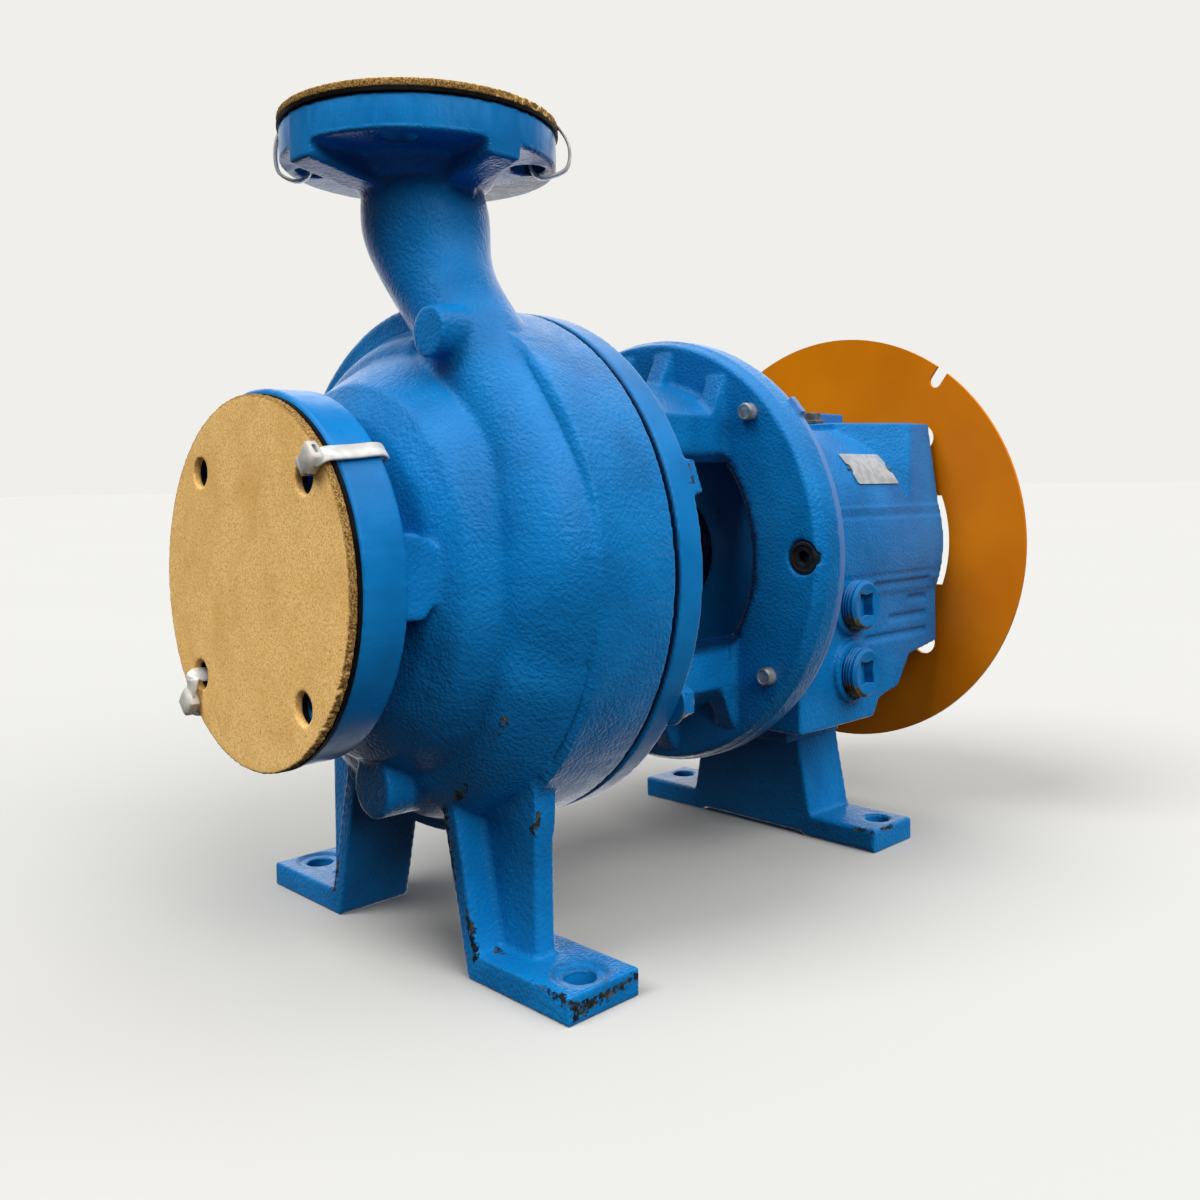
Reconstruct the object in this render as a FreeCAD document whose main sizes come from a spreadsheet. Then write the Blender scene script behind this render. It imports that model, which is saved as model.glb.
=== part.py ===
import FreeCAD, Part
import Sketcher
import math
import os
import re

# Horizontal end suction process pump, 3 x 2 x 8 size with a medium bearing frame.
# Millimetres and degrees. Z is up and the shaft lies along Y, with the suction flange toward -Y.
# The origin is on the base plane, midway between the two bolt holes of the casing feet.

# Driving dimensions: (name, value)
DIMENSIONS = (
    # Mounting sizes of the pump
    ("shaft_height", 209.55),
    ("discharge_height", 241.3),
    ("suction_reach", 101.6),
    ("shaft_reach", 495.3),
    ("foot_bolt_distance", 317.5),
    ("casing_foot_bolt_half", 123.825),
    ("frame_foot_bolt_half", 92.075),
    ("foot_hole_radius", 7.95),
    # Suction flange
    ("suction_flange_radius", 95.25),
    ("suction_flange_thick", 25.4),
    ("suction_bolt_circle", 76.2),
    ("flange_hole_radius", 9.525),
    ("suction_nozzle_radius", 60.0),
    ("suction_boss_radius", 21.0),
    ("suction_boss_reach", 88.0),
    ("suction_boss_offset", 4.0),
    ("suction_boss_rise", 3.0),
    # Discharge flange and neck
    ("discharge_flange_radius", 76.2),
    ("discharge_flange_thick", 19.0),
    ("discharge_bolt_circle", 60.325),
    ("discharge_hub_radius", 46.0),
    ("discharge_hub_drop", 10.0),
    ("discharge_rib_width", 22.0),
    ("discharge_rib_drop", 15.0),
    ("discharge_rib_low_reach", 40.0),
    ("discharge_rib_high_reach", 117.0),
    ("neck_bend_radius", 129.8),
    ("neck_bend_drop", 15.1),
    ("neck_top_radius", 37.7),
    ("neck_middle_radius", 35.5),
    ("neck_lower_radius", 31.4),
    ("neck_waist_radius", 27.7),
    ("neck_boss_radius", 13.5),
    ("neck_boss_offset", 57.5),
    ("neck_boss_rise", 123.5),
    ("neck_boss_reach", 38.0),
    # Shipping covers
    ("suction_cover_radius", 94.3),
    ("discharge_cover_radius", 77.5),
    ("cover_thick", 4.6),
    ("gasket_thick", 2.0),
    ("cover_hole_radius", 8.0),
    ("cover_shift", 1.5),
    ("cover_drop", 1.9),
    ("cover_turn", 2.2),
    # Volute
    ("scroll_radius", 111.9),
    ("scroll_start_size", 20.0),
    ("scroll_end_size", 34.0),
    ("scroll_start_angle", 84.0),
    ("dome_root_reach", 62.0),
    ("dome_face_reach", 57.0),
    ("dome_face_radius", 84.0),
    ("dome_reach", 48.0),
    ("dome_radius", 100.0),
    ("dome_edge_radius", 113.0),
    ("dome_edge_reach", 28.0),
    ("rim_root_radius", 125.0),
    ("rim_radius", 147.5),
    ("rim_front", -4.0),
    ("rim_back", 48.0),
    ("drain_boss_radius", 17.0),
    ("drain_boss_drop", 116.0),
    ("drain_boss_offset", 8.0),
    ("drain_boss_reach", 44.0),
    # Casing feet
    ("pad_inner", 62.0),
    ("pad_outer", 140.0),
    ("pad_front", -22.6),
    ("pad_back", 25.3),
    ("pad_thick", 14.2),
    ("spot_face_radius", 14.5),
    ("spot_face_depth", 1.5),
    ("leg_web_thick", 11.5),
    ("leg_web_lean", 25.0),
    ("leg_rib_front", -5.0),
    ("leg_rib_thick", 13.3),
    ("leg_rib_outer", 97.0),
    ("leg_height", 105.0),
    # Seal chamber, gland, sleeve and shaft
    ("chamber_flange_radius", 139.0),
    ("joint_gap", 2.5),
    ("chamber_spigot_radius", 117.0),
    ("chamber_spigot_depth", 12.0),
    ("chamber_taper_length", 10.0),
    ("chamber_taper_rise", 12.0),
    ("chamber_hub_radius", 58.0),
    ("chamber_hub_back", 104.0),
    ("gland_radius", 52.0),
    ("gland_thick", 13.0),
    ("gland_neck_radius", 30.0),
    ("gland_neck_length", 6.0),
    ("gland_stud_circle", 40.0),
    ("gland_stud_radius", 6.35),
    ("sleeve_radius", 22.2),
    ("sleeve_back", 152.0),
    ("sleeve_collar_radius", 29.0),
    ("sleeve_collar_length", 16.0),
    ("shaft_seal_radius", 17.5),
    ("shaft_body_radius", 25.0),
    ("shaft_body_front", 218.0),
    ("shaft_body_inset", 4.0),
    ("shaft_housing_radius", 19.0),
    ("shaft_end_radius", 14.2875),
    ("shaft_end_length", 66.7),
    ("shaft_end_chamfer", 1.5),
    ("keyway_width", 6.35),
    ("keyway_depth", 3.2),
    ("keyway_length", 52.0),
    ("running_clearance", 0.3),
    # Frame adapter
    ("adapter_flange_back", 69.3),
    ("adapter_barrel_radius", 112.0),
    ("adapter_barrel_bore", 90.0),
    ("adapter_barrel_root", 6.0),
    ("adapter_web_radius", 123.0),
    ("adapter_web_bore", 94.0),
    ("adapter_disc_front", 180.0),
    ("adapter_disc_edge_radius", 138.7),
    ("adapter_disc_radius", 142.0),
    ("adapter_disc_bevel", 9.0),
    ("adapter_disc_back", 202.0),
    ("adapter_top_half", 70.0),
    ("adapter_bottom_half", 76.0),
    ("adapter_slot_half", 10.0),
    ("adapter_slot_front", 92.0),
    ("adapter_rib_width", 15.0),
    ("adapter_rib_depth", 13.0),
    ("adapter_rib_tip", 137.0),
    ("adapter_rib_blunt", 6.0),
    ("adapter_lug_angle", 19.5),
    ("adapter_lug_width", 19.0),
    ("adapter_lug_back", 76.0),
    ("adapter_lug_inner", 139.0),
    ("adapter_plug_radius", 10.0),
    ("adapter_plug_circle", 128.8),
    ("adapter_plug_depth", 6.0),
    # Bearing frame
    ("frame_flange_radius", 140.0),
    ("frame_flange_back", 214.0),
    ("frame_flange_bevel", 5.0),
    ("frame_flange_chamfer", 2.0),
    ("frame_lug_angle", 41.0),
    ("frame_lug_radius", 144.0),
    ("frame_lug_width", 14.0),
    ("frame_lug_thick", 4.0),
    ("frame_fillet_length", 12.0),
    ("frame_fillet_rise", 6.0),
    ("frame_barrel_radius", 100.0),
    ("frame_back", 400.0),
    ("frame_flat_height", 82.0),
    ("frame_flat_front", 240.0),
    ("frame_top_height", 88.5),
    ("frame_top_front", 321.4),
    ("corner_top_half", 87.5),
    ("corner_low_half", 99.8),
    ("corner_bend", 351.1),
    ("corner_draft", 22.2),
    ("sump_half", 93.0),
    ("sump_front", 226.0),
    ("sump_top_drop", 20.0),
    ("sump_drop", 120.6),
    ("sump_step_front", 313.0),
    ("sump_step_root", 321.0),
    ("sump_step_drop", 108.4),
    ("sump_step_back", 346.0),
    ("sump_step_end_drop", 103.0),
    ("sump_tail_front", 362.0),
    ("sump_tail_drop", 82.0),
    ("sump_tail_end_drop", 75.7),
    ("port_radius", 14.0),
    ("port_boss_radius", 21.5),
    ("port_boss_reach", 97.0),
    ("port_depth", 12.0),
    ("port_axis_y", 284.0),
    ("upper_port_drop", 38.5),
    ("lower_port_drop", 84.5),
    ("plug_head_radius", 16.6),
    ("plug_head_height", 9.0),
    ("sight_pane_radius", 11.6),
    ("sight_rim_reach", 10.0),
    ("sight_pane_reach", 8.0),
    ("sight_pane_seat", 5.0),
    ("plug_square", 12.7),
    ("plug_square_depth", 8.0),
    ("side_groove_height", 5.5),
    ("side_groove_floor", 91.0),
    ("side_groove_top_floor", 94.5),
    ("side_groove_drop", 26.0),
    ("side_groove_pitch", 12.4),
    ("side_groove_back", 386.0),
    ("top_groove_front", 309.0),
    ("second_groove_front", 358.0),
    ("third_groove_front", 333.0),
    ("low_groove_front", 302.0),
    ("top_pad_half", 24.0),
    ("top_pad_front", 348.0),
    ("top_pad_back", 381.0),
    ("top_pad_height", 9.8),
    ("filler_axis_x", 24.0),
    ("filler_axis_y", 334.5),
    ("filler_radius", 9.0),
    ("filler_height", 9.3),
    ("filler_collar_radius", 12.0),
    ("filler_collar_height", 3.5),
    ("frame_pad_half", 47.0),
    ("frame_pad_front", 272.0),
    ("frame_pad_back", 337.0),
    ("inboard_seal_radius", 38.0),
    ("inboard_seal_front", 196.0),
    ("inboard_seal_depth", 8.0),
    ("inboard_seal_step", 8.0),
    ("inboard_seal_proud", 3.0),
    # Frame foot
    ("frame_foot_seam", 69.5),
    ("frame_foot_half", 108.0),
    ("frame_foot_front", 289.0),
    ("frame_foot_back", 337.0),
    ("frame_foot_thick", 15.5),
    ("frame_foot_relief", 2.6),
    ("frame_foot_relief_half", 47.0),
    ("frame_foot_column_low", 58.0),
    ("frame_foot_column_top", 45.0),
    # Bearing housing, outboard seal and guard plate
    ("housing_flange_radius", 84.0),
    ("housing_flange_thick", 6.5),
    ("housing_hub_radius", 58.0),
    ("housing_hub_back", 423.0),
    ("housing_hub_chamfer", 3.0),
    ("outboard_seal_radius", 33.0),
    ("outboard_seal_thick", 5.0),
    ("guard_radius", 160.8),
    ("guard_thick", 2.7),
    ("guard_notch_width", 10.0),
    ("guard_notch_depth", 15.0),
    ("guard_notch_angle", 53.5),
    ("guard_hole_radius", 9.5),
    ("guard_hole_circle", 111.0),
    ("guard_side_inner", 88.0),
    ("guard_side_outer", 100.6),
    ("guard_side_width", 68.0),
)

doc = FreeCAD.newDocument("process_pump")
sizes = doc.addObject("Spreadsheet::Sheet", "sizes")
for row, (alias, value) in enumerate(DIMENSIONS, start=1):
    sizes.set(f"A{row}", alias)
    sizes.set(f"B{row}", str(value))
    sizes.setAlias(f"B{row}", alias)
doc.recompute()

ALIASES = {alias for alias, value in DIMENSIONS}
Y_AXIS = FreeCAD.Vector(0, 1, 0)
X_AXIS = FreeCAD.Vector(1, 0, 0)
LOOSE_RADIUS = 100
CORNER_FLARE = 31.6
parts = []


def linked(text):
    """Return an expression whose size names point at the sheet."""
    return re.sub(r"[a-z_]+", lambda word: f"sizes.{word[0]}" if word[0] in ALIASES else word[0], str(text))


def bind(thing, **expressions):
    """Bind properties of an object to expressions in the size names."""
    for prop, text in expressions.items():
        thing.setExpression(prop, linked(text))


def place(thing, x=0, y=0, z=0):
    """Bind the position of an object."""
    for letter, text in (("x", x), ("y", y), ("z", z)):
        thing.setExpression(f"Placement.Base.{letter}", linked(text))


def turn(thing, axis, angle):
    """Set the direction of an object, about one axis, by an angle expression."""
    thing.Placement.Rotation = FreeCAD.Rotation(axis, 1)
    thing.setExpression("Placement.Rotation.Angle", linked(angle))


def box(name, x_span, y_span, z_span):
    """A block between two limits along each axis."""
    block = doc.addObject("Part::Box", name)
    bind(block, Length=f"({x_span[1]}) - ({x_span[0]})")
    bind(block, Width=f"({y_span[1]}) - ({y_span[0]})")
    bind(block, Height=f"({z_span[1]}) - ({z_span[0]})")
    place(block, x_span[0], y_span[0], z_span[0])
    return block


def rod(name, direction, radius, start, end, first, second):
    """A cylinder along X, Y or Z from start to end. The other two coordinates follow in XYZ order."""
    cylinder = doc.addObject("Part::Cylinder", name)
    bind(cylinder, Radius=radius, Height=f"({end}) - ({start})")
    if direction == "x":
        cylinder.Placement.Rotation = FreeCAD.Rotation(Y_AXIS, 90)
        place(cylinder, start, first, second)
    elif direction == "y":
        cylinder.Placement.Rotation = FreeCAD.Rotation(X_AXIS, -90)
        place(cylinder, first, start, second)
    else:
        place(cylinder, first, second, start)
    return cylinder


def wedge(name, x_front, x_back, y_span, z_front, z_back):
    """A block whose X and Z limits change from its front to its back."""
    block = doc.addObject("Part::Wedge", name)
    bind(block, Xmin=x_front[0], Xmax=x_front[1], X2min=x_back[0], X2max=x_back[1])
    bind(block, Ymin=y_span[0], Ymax=y_span[1])
    bind(block, Zmin=z_front[0], Zmax=z_front[1], Z2min=z_back[0], Z2max=z_back[1])
    return block


def fuse(name, shapes):
    """One solid made of several that overlap."""
    joined = doc.addObject("Part::MultiFuse", name)
    joined.Shapes = shapes
    joined.Refine = True
    return joined


def cut(name, base, tools):
    """A solid with others taken out of it. Each of those runs on a little past the face that it cuts."""
    removed = tools[0] if len(tools) == 1 else fuse(f"{name}_tools", tools)
    remaining = doc.addObject("Part::Cut", name)
    remaining.Base = base
    remaining.Tool = removed
    return remaining


def common(name, shapes):
    """What several solids share."""
    shared = doc.addObject("Part::MultiCommon", name)
    shared.Shapes = shapes
    return shared


def plane_of(body, role):
    """One of a body's own origin planes."""
    for feature in body.Origin.OriginFeatures:
        if feature.Role == role:
            return feature
    return None


def outline(body, name, role, corners):
    """A closed sketch of straight lines, each corner held by two expressions."""
    sketch = body.newObject("Sketcher::SketchObject", name)
    sketch.AttachmentSupport = [(plane_of(body, role), "")]
    sketch.MapMode = "FlatFace"
    count = len(corners)
    # The corners start on a loose circle, and their constraints then pull them into place
    turns = [2 * math.pi * index / count for index in range(count)]
    loose = [FreeCAD.Vector(LOOSE_RADIUS * math.cos(angle), LOOSE_RADIUS * math.sin(angle), 0)
             for angle in turns]
    for index in range(count):
        sketch.addGeometry(Part.LineSegment(loose[index], loose[(index + 1) % count]), False)
    for index in range(count):
        sketch.addConstraint(Sketcher.Constraint("Coincident", index, 2, (index + 1) % count, 1))
    for index, corner in enumerate(corners):
        for kind, text in zip(("DistanceX", "DistanceY"), corner):
            number = sketch.addConstraint(Sketcher.Constraint(kind, -1, 1, index, 1, 10.0))
            sketch.setExpression(f"Constraints[{number}]", linked(text))
    return sketch


def turned(name, corners):
    """A body turned about the shaft axis. Each corner is (distance along Y, radius)."""
    body = doc.addObject("PartDesign::Body", name)
    place(body, 0, 0, "shaft_height")
    sketch = outline(body, f"{name}_profile", "YZ_Plane", corners)
    revolution = body.newObject("PartDesign::Revolution", f"{name}_turning")
    revolution.Profile = sketch
    revolution.ReferenceAxis = (sketch, ["H_Axis"])
    revolution.Angle = 360
    return body


def padded(name, length, corners):
    """A body of even thickness across the pump. Each corner is (distance along Y, height over the shaft)."""
    body = doc.addObject("PartDesign::Body", name)
    place(body, 0, 0, "shaft_height")
    pad = body.newObject("PartDesign::Pad", f"{name}_pad")
    pad.Profile = outline(body, f"{name}_profile", "YZ_Plane", corners)
    pad.Midplane = True
    bind(pad, Length=length)
    return body


def ring(name, outer, inner, start, end):
    """A turned ring about the shaft axis."""
    return turned(name, ((start, inner), (end, inner), (end, outer), (start, outer)))


def bolt_holes(name, radius, circle, start, end, angles, shift=("0", "0")):
    """Rods along Y on a circle about the shaft axis, or about an axis a little beside it."""
    rods = []
    for index, angle in enumerate(angles):
        x_text = f"({circle}) * cos({angle}) + ({shift[0]})"
        z_text = f"shaft_height + ({circle}) * sin({angle}) + ({shift[1]})"
        rods.append(rod(f"{name}_{index}", "y", radius, start, end, x_text, z_text))
    return rods


def radial_box(name, r_span, y_span, width, angle):
    """A block that points away from the shaft axis, at an angle about it."""
    block = doc.addObject("Part::Box", name)
    bind(block, Length=f"({r_span[1]}) - ({r_span[0]})", Width=f"({y_span[1]}) - ({y_span[0]})", Height=width)
    turn(block, FreeCAD.Vector(0, -1, 0), angle)
    place(block, f"({r_span[0]}) * cos({angle}) + 0.5 * {width} * sin({angle})", y_span[0],
          f"shaft_height + ({r_span[0]}) * sin({angle}) - 0.5 * {width} * cos({angle})")
    return block


def arc_slot(name, inner, outer, y_span, width, angle):
    """A slot that bends about the shaft axis, with straight ends."""
    band = ring(f"{name}_band", outer, inner, y_span[0], y_span[1])
    reach = radial_box(f"{name}_reach", (f"0.5 * {inner}", f"{outer} + 5"), y_span, width, angle)
    return common(name, [band, reach])


def upright_holes(name, radius, circle, start, end, angles):
    """Rods along Z on a circle about the discharge axis."""
    rods = []
    for index, angle in enumerate(angles):
        x_text = f"({circle}) * cos({angle})"
        y_text = f"({circle}) * sin({angle})"
        rods.append(rod(f"{name}_{index}", "z", radius, start, end, x_text, y_text))
    return rods


def finish(thing, label):
    """Give a sub-part its name."""
    thing.Label = label
    parts.append(thing)
    return thing


FOUR_HOLES = (45, 135, 225, 315)
SUCTION_FACE = "-suction_reach"
DISCHARGE_FACE = "shaft_height + discharge_height"
ADAPTER_FRONT = "rim_back + joint_gap"


# Volute: round sections of growing size along a spiral, then the neck up to the discharge flange.
# The neck leaves the scroll circle on a tangent and bends up to the discharge axis.
BEND_Z = "(discharge_height - neck_bend_drop)"
BEND_SPAN = f"sqrt(neck_bend_radius ^ 2 + {BEND_Z} ^ 2)"
LEAVE_ANGLE = (f"((atan({BEND_Z} / neck_bend_radius)"
               f" - acos((scroll_radius + neck_bend_radius) / {BEND_SPAN})) / 1 deg)")


def section(name, radius, x_text, z_text, angle):
    """A circle whose plane stands across the flow, at an angle about Y."""
    circle = doc.addObject("Part::Circle", name)
    bind(circle, Radius=radius)
    turn(circle, FreeCAD.Vector(0, -1, 0), angle)
    place(circle, x_text, 0, f"shaft_height + ({z_text})")
    return circle


def scroll_section(index, share, size=None):
    """A section of the scroll, at a share of the way round from the cutwater to the throat."""
    angle = f"(scroll_start_angle + (360 + {LEAVE_ANGLE} - scroll_start_angle) * {share})"
    radius = size or f"scroll_start_size + (scroll_end_size - scroll_start_size) * {share}"
    x_text = f"scroll_radius * cos({angle})"
    z_text = f"scroll_radius * sin({angle})"
    return section(f"scroll_section_{index}", radius, x_text, z_text, angle)


def throat_section(index, share):
    """A section of the straight run between the scroll circle, share 0, and the neck bend, share 1."""
    first = (f"scroll_radius * cos({LEAVE_ANGLE})", f"scroll_radius * sin({LEAVE_ANGLE})")
    last = (f"neck_bend_radius * (1 - cos({LEAVE_ANGLE}))",
            f"({BEND_Z} - neck_bend_radius * sin({LEAVE_ANGLE}))")
    x_text = f"{first[0]} * (1 - {share}) + {last[0]} * {share}"
    z_text = f"{first[1]} * (1 - {share}) + {last[1]} * {share}"
    return section(f"throat_section_{index}", "neck_waist_radius", x_text, z_text, LEAVE_ANGLE)


def neck_section(name, share, size):
    """A section of the neck bend, share 0 at the throat side and 1 at the flange."""
    angle = f"({LEAVE_ANGLE} * (1 - {share}))"
    x_text = f"neck_bend_radius * (1 - cos({angle}))"
    z_text = f"{BEND_Z} - neck_bend_radius * sin({angle})"
    return section(name, size, x_text, z_text, angle)


def loft(name, sections):
    """A smooth solid through several sections."""
    solid = doc.addObject("Part::Loft", name)
    solid.Sections = sections
    solid.Solid = True
    solid.Ruled = False
    return solid


def make_volute():
    """The scroll in two stretches that share a section, and the neck."""
    steps = 12
    shared = 8
    rounds = [scroll_section(index, f"{index / steps:.6f}") for index in range(steps)]
    rounds.append(scroll_section(steps, "1.0", "neck_waist_radius"))
    first = loft("scroll_first", rounds[:shared + 1])
    start_again = scroll_section(99, f"{shared / steps:.6f}")
    neck = [throat_section(index, share) for index, share in enumerate(("0.35", "0.7", "1.0"))]
    neck += [
        neck_section("neck_lower", "0.3", "neck_lower_radius"),
        neck_section("neck_middle", "0.65", "neck_middle_radius"),
        neck_section("neck_upper", "1.0", "neck_top_radius"),
    ]
    second = loft("scroll_second", [start_again] + rounds[shared + 1:] + neck)
    stub_top = f"{DISCHARGE_FACE} - 0.5 * discharge_flange_thick"
    stub = rod("neck_stub", "z", "neck_top_radius", f"shaft_height + {BEND_Z}", stub_top, 0, 0)
    return [first, second, stub]


def make_leg(side, sign):
    """One casing foot: a pad, a leaning web and a rib across it. sign is 1 on the right, -1 on the left."""
    web = doc.addObject("Part::Wedge", f"leg_web_{side}")
    turn_up = FreeCAD.Rotation(X_AXIS, 90)
    web.Placement.Rotation = turn_up
    # The wedge's own Y runs up and its own Z runs toward -Y here
    bind(web, Ymin="0", Ymax="leg_height")
    bind(web, Zmin="-pad_back", Zmax="-pad_front", Z2min="-pad_back", Z2max="-pad_front")
    low = ("pad_inner", "pad_inner + leg_web_thick")
    high = ("pad_inner - leg_web_lean", "pad_inner - leg_web_lean + leg_web_thick")
    if sign < 0:
        low = (f"-({low[1]})", f"-({low[0]})")
        high = (f"-({high[1]})", f"-({high[0]})")
    bind(web, Xmin=low[0], Xmax=low[1], X2min=high[0], X2max=high[1])
    if sign > 0:
        pad_x = ("pad_inner", "pad_outer")
        rib_x = ("pad_inner - leg_web_lean + 1", "leg_rib_outer")
    else:
        pad_x = ("-pad_outer", "-pad_inner")
        rib_x = ("-leg_rib_outer", "-pad_inner + leg_web_lean - 1")
    pad = box(f"leg_pad_{side}", pad_x, ("pad_front", "pad_back"), ("0", "pad_thick"))
    rib_y = ("leg_rib_front", "leg_rib_front + leg_rib_thick")
    rib = box(f"leg_rib_{side}", rib_x, rib_y, ("0", "leg_height"))
    # The rib stops at the web's inner face
    keep = doc.addObject("Part::Wedge", f"leg_rib_side_{side}")
    keep.Placement.Rotation = turn_up
    bind(keep, Ymin="0", Ymax="leg_height")
    bind(keep, Zmin="-pad_back", Zmax="-pad_front", Z2min="-pad_back", Z2max="-pad_front")
    if sign > 0:
        bind(keep, Xmin="pad_inner", X2min="pad_inner - leg_web_lean")
        bind(keep, Xmax="pad_outer", X2max="pad_outer")
    else:
        bind(keep, Xmin="-pad_outer", X2min="-pad_outer")
        bind(keep, Xmax="-pad_inner", X2max="-pad_inner + leg_web_lean")
    rib_cut = common(f"leg_rib_cut_{side}", [rib, keep])
    return [web, pad, rib_cut]


def make_flange_rib(direction, top):
    """A rib under the discharge flange, out to its edge toward +X or -Y, deepest at the neck."""
    bar = doc.addObject("Part::Wedge", f"flange_rib_{direction}")
    upright = FreeCAD.Rotation(X_AXIS, 90)
    if direction == "y":
        upright = FreeCAD.Rotation(FreeCAD.Vector(0, 0, 1), -90).multiply(upright)
    bar.Placement.Rotation = upright
    bind(bar, Xmin="0", Xmax="discharge_rib_low_reach", X2min="0", X2max="discharge_rib_high_reach")
    bind(bar, Ymin=f"{top} - discharge_rib_drop", Ymax=top)
    half = "0.5 * discharge_rib_width"
    bind(bar, Zmin=f"-{half}", Zmax=half, Z2min=f"-{half}", Z2max=half)
    limit = rod(f"flange_rib_limit_{direction}", "z", "discharge_flange_radius",
                f"{top} - discharge_rib_drop - 1", f"{top} + 1", 0, 0)
    return common(f"flange_rib_cut_{direction}", [bar, limit])


def make_casing():
    """The volute casing: both flanges, dome, scroll, rim, neck and feet in one casting."""
    shell = turned("casing_shell", (
        (SUCTION_FACE, "0"),
        (SUCTION_FACE, "suction_flange_radius"),
        (f"{SUCTION_FACE} + suction_flange_thick", "suction_flange_radius"),
        (f"{SUCTION_FACE} + suction_flange_thick", "suction_nozzle_radius"),
        ("-dome_root_reach", "suction_nozzle_radius"),
        ("-dome_face_reach", "dome_face_radius"),
        ("-dome_reach", "dome_radius"),
        ("-dome_edge_reach", "dome_edge_radius"),
        ("rim_front", "rim_root_radius"),
        ("rim_front", "rim_radius"),
        ("rim_back", "rim_radius"),
        ("rim_back", "0"),
    ))
    flange_low = f"{DISCHARGE_FACE} - discharge_flange_thick"
    flange = rod("discharge_flange", "z", "discharge_flange_radius", flange_low, DISCHARGE_FACE, 0, 0)
    hub = doc.addObject("Part::Cone", "discharge_hub")
    bind(hub, Radius1="neck_top_radius", Radius2="discharge_hub_radius", Height="discharge_hub_drop")
    place(hub, 0, 0, f"{flange_low} - discharge_hub_drop")
    boss_z = "shaft_height - drain_boss_drop"
    drain_boss = rod("drain_boss", "y", "drain_boss_radius", "-drain_boss_reach", "rim_front",
                     "drain_boss_offset", boss_z)
    suction_boss = rod("suction_boss", "x", "suction_boss_radius", "0", "suction_boss_reach",
                       f"{SUCTION_FACE} + suction_flange_thick + suction_boss_offset",
                       "shaft_height + suction_boss_rise")
    neck_boss = rod("neck_boss", "y", "neck_boss_radius", "-neck_boss_reach", "0",
                    "neck_boss_offset", "shaft_height + neck_boss_rise")
    solids = [shell] + make_volute() + [flange, hub, drain_boss, suction_boss, neck_boss]
    solids += [make_flange_rib("x", flange_low), make_flange_rib("y", flange_low)]
    solids += make_leg("right", 1) + make_leg("left", -1)
    body = fuse("casing_body", solids)
    holes = bolt_holes("suction_hole", "flange_hole_radius", "suction_bolt_circle",
                       f"{SUCTION_FACE} - 1", f"{SUCTION_FACE} + suction_flange_thick + 1", FOUR_HOLES)
    holes += upright_holes("discharge_hole", "flange_hole_radius", "discharge_bolt_circle",
                           f"{flange_low} - 1", f"{DISCHARGE_FACE} + 1", FOUR_HOLES)
    for side, sign in (("right", ""), ("left", "-")):
        x_text = f"{sign}casing_foot_bolt_half"
        holes.append(rod(f"foot_hole_{side}", "z", "foot_hole_radius", "-1", "pad_thick + 1", x_text, 0))
        holes.append(rod(f"spot_face_{side}", "z", "spot_face_radius", "pad_thick - spot_face_depth",
                         "pad_thick + 1", x_text, 0))
    finish(cut("casing_machined", body, holes), "casing")


def make_covers():
    """Fibreboard shipping covers over both flanges, each with a rubber sheet behind it."""
    rubber_front = f"{SUCTION_FACE} - gasket_thick"
    cover_front = f"{rubber_front} - cover_thick"
    for label, start, end in (("suction_gasket", rubber_front, SUCTION_FACE),
                              ("suction_cover", cover_front, rubber_front)):
        disc = rod(f"{label}_disc", "y", "suction_cover_radius", start, end,
                   "cover_shift", "shaft_height - cover_drop")
        turned_holes = [f"({angle} - cover_turn)" for angle in FOUR_HOLES]
        holes = bolt_holes(f"{label}_hole", "cover_hole_radius", "suction_bolt_circle",
                           f"{start} - 1", f"{end} + 1", turned_holes, ("cover_shift", "-cover_drop"))
        finish(cut(f"{label}_drilled", disc, holes), label)
    rubber_top = f"{DISCHARGE_FACE} + gasket_thick"
    cover_top = f"{rubber_top} + cover_thick"
    for label, start, end in (("discharge_gasket", DISCHARGE_FACE, rubber_top),
                              ("discharge_cover", rubber_top, cover_top)):
        disc = rod(f"{label}_disc", "z", "discharge_cover_radius", start, end, 0, 0)
        holes = upright_holes(f"{label}_hole", "cover_hole_radius", "discharge_bolt_circle",
                              f"{start} - 1", f"{end} + 1", FOUR_HOLES)
        finish(cut(f"{label}_drilled", disc, holes), label)


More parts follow.
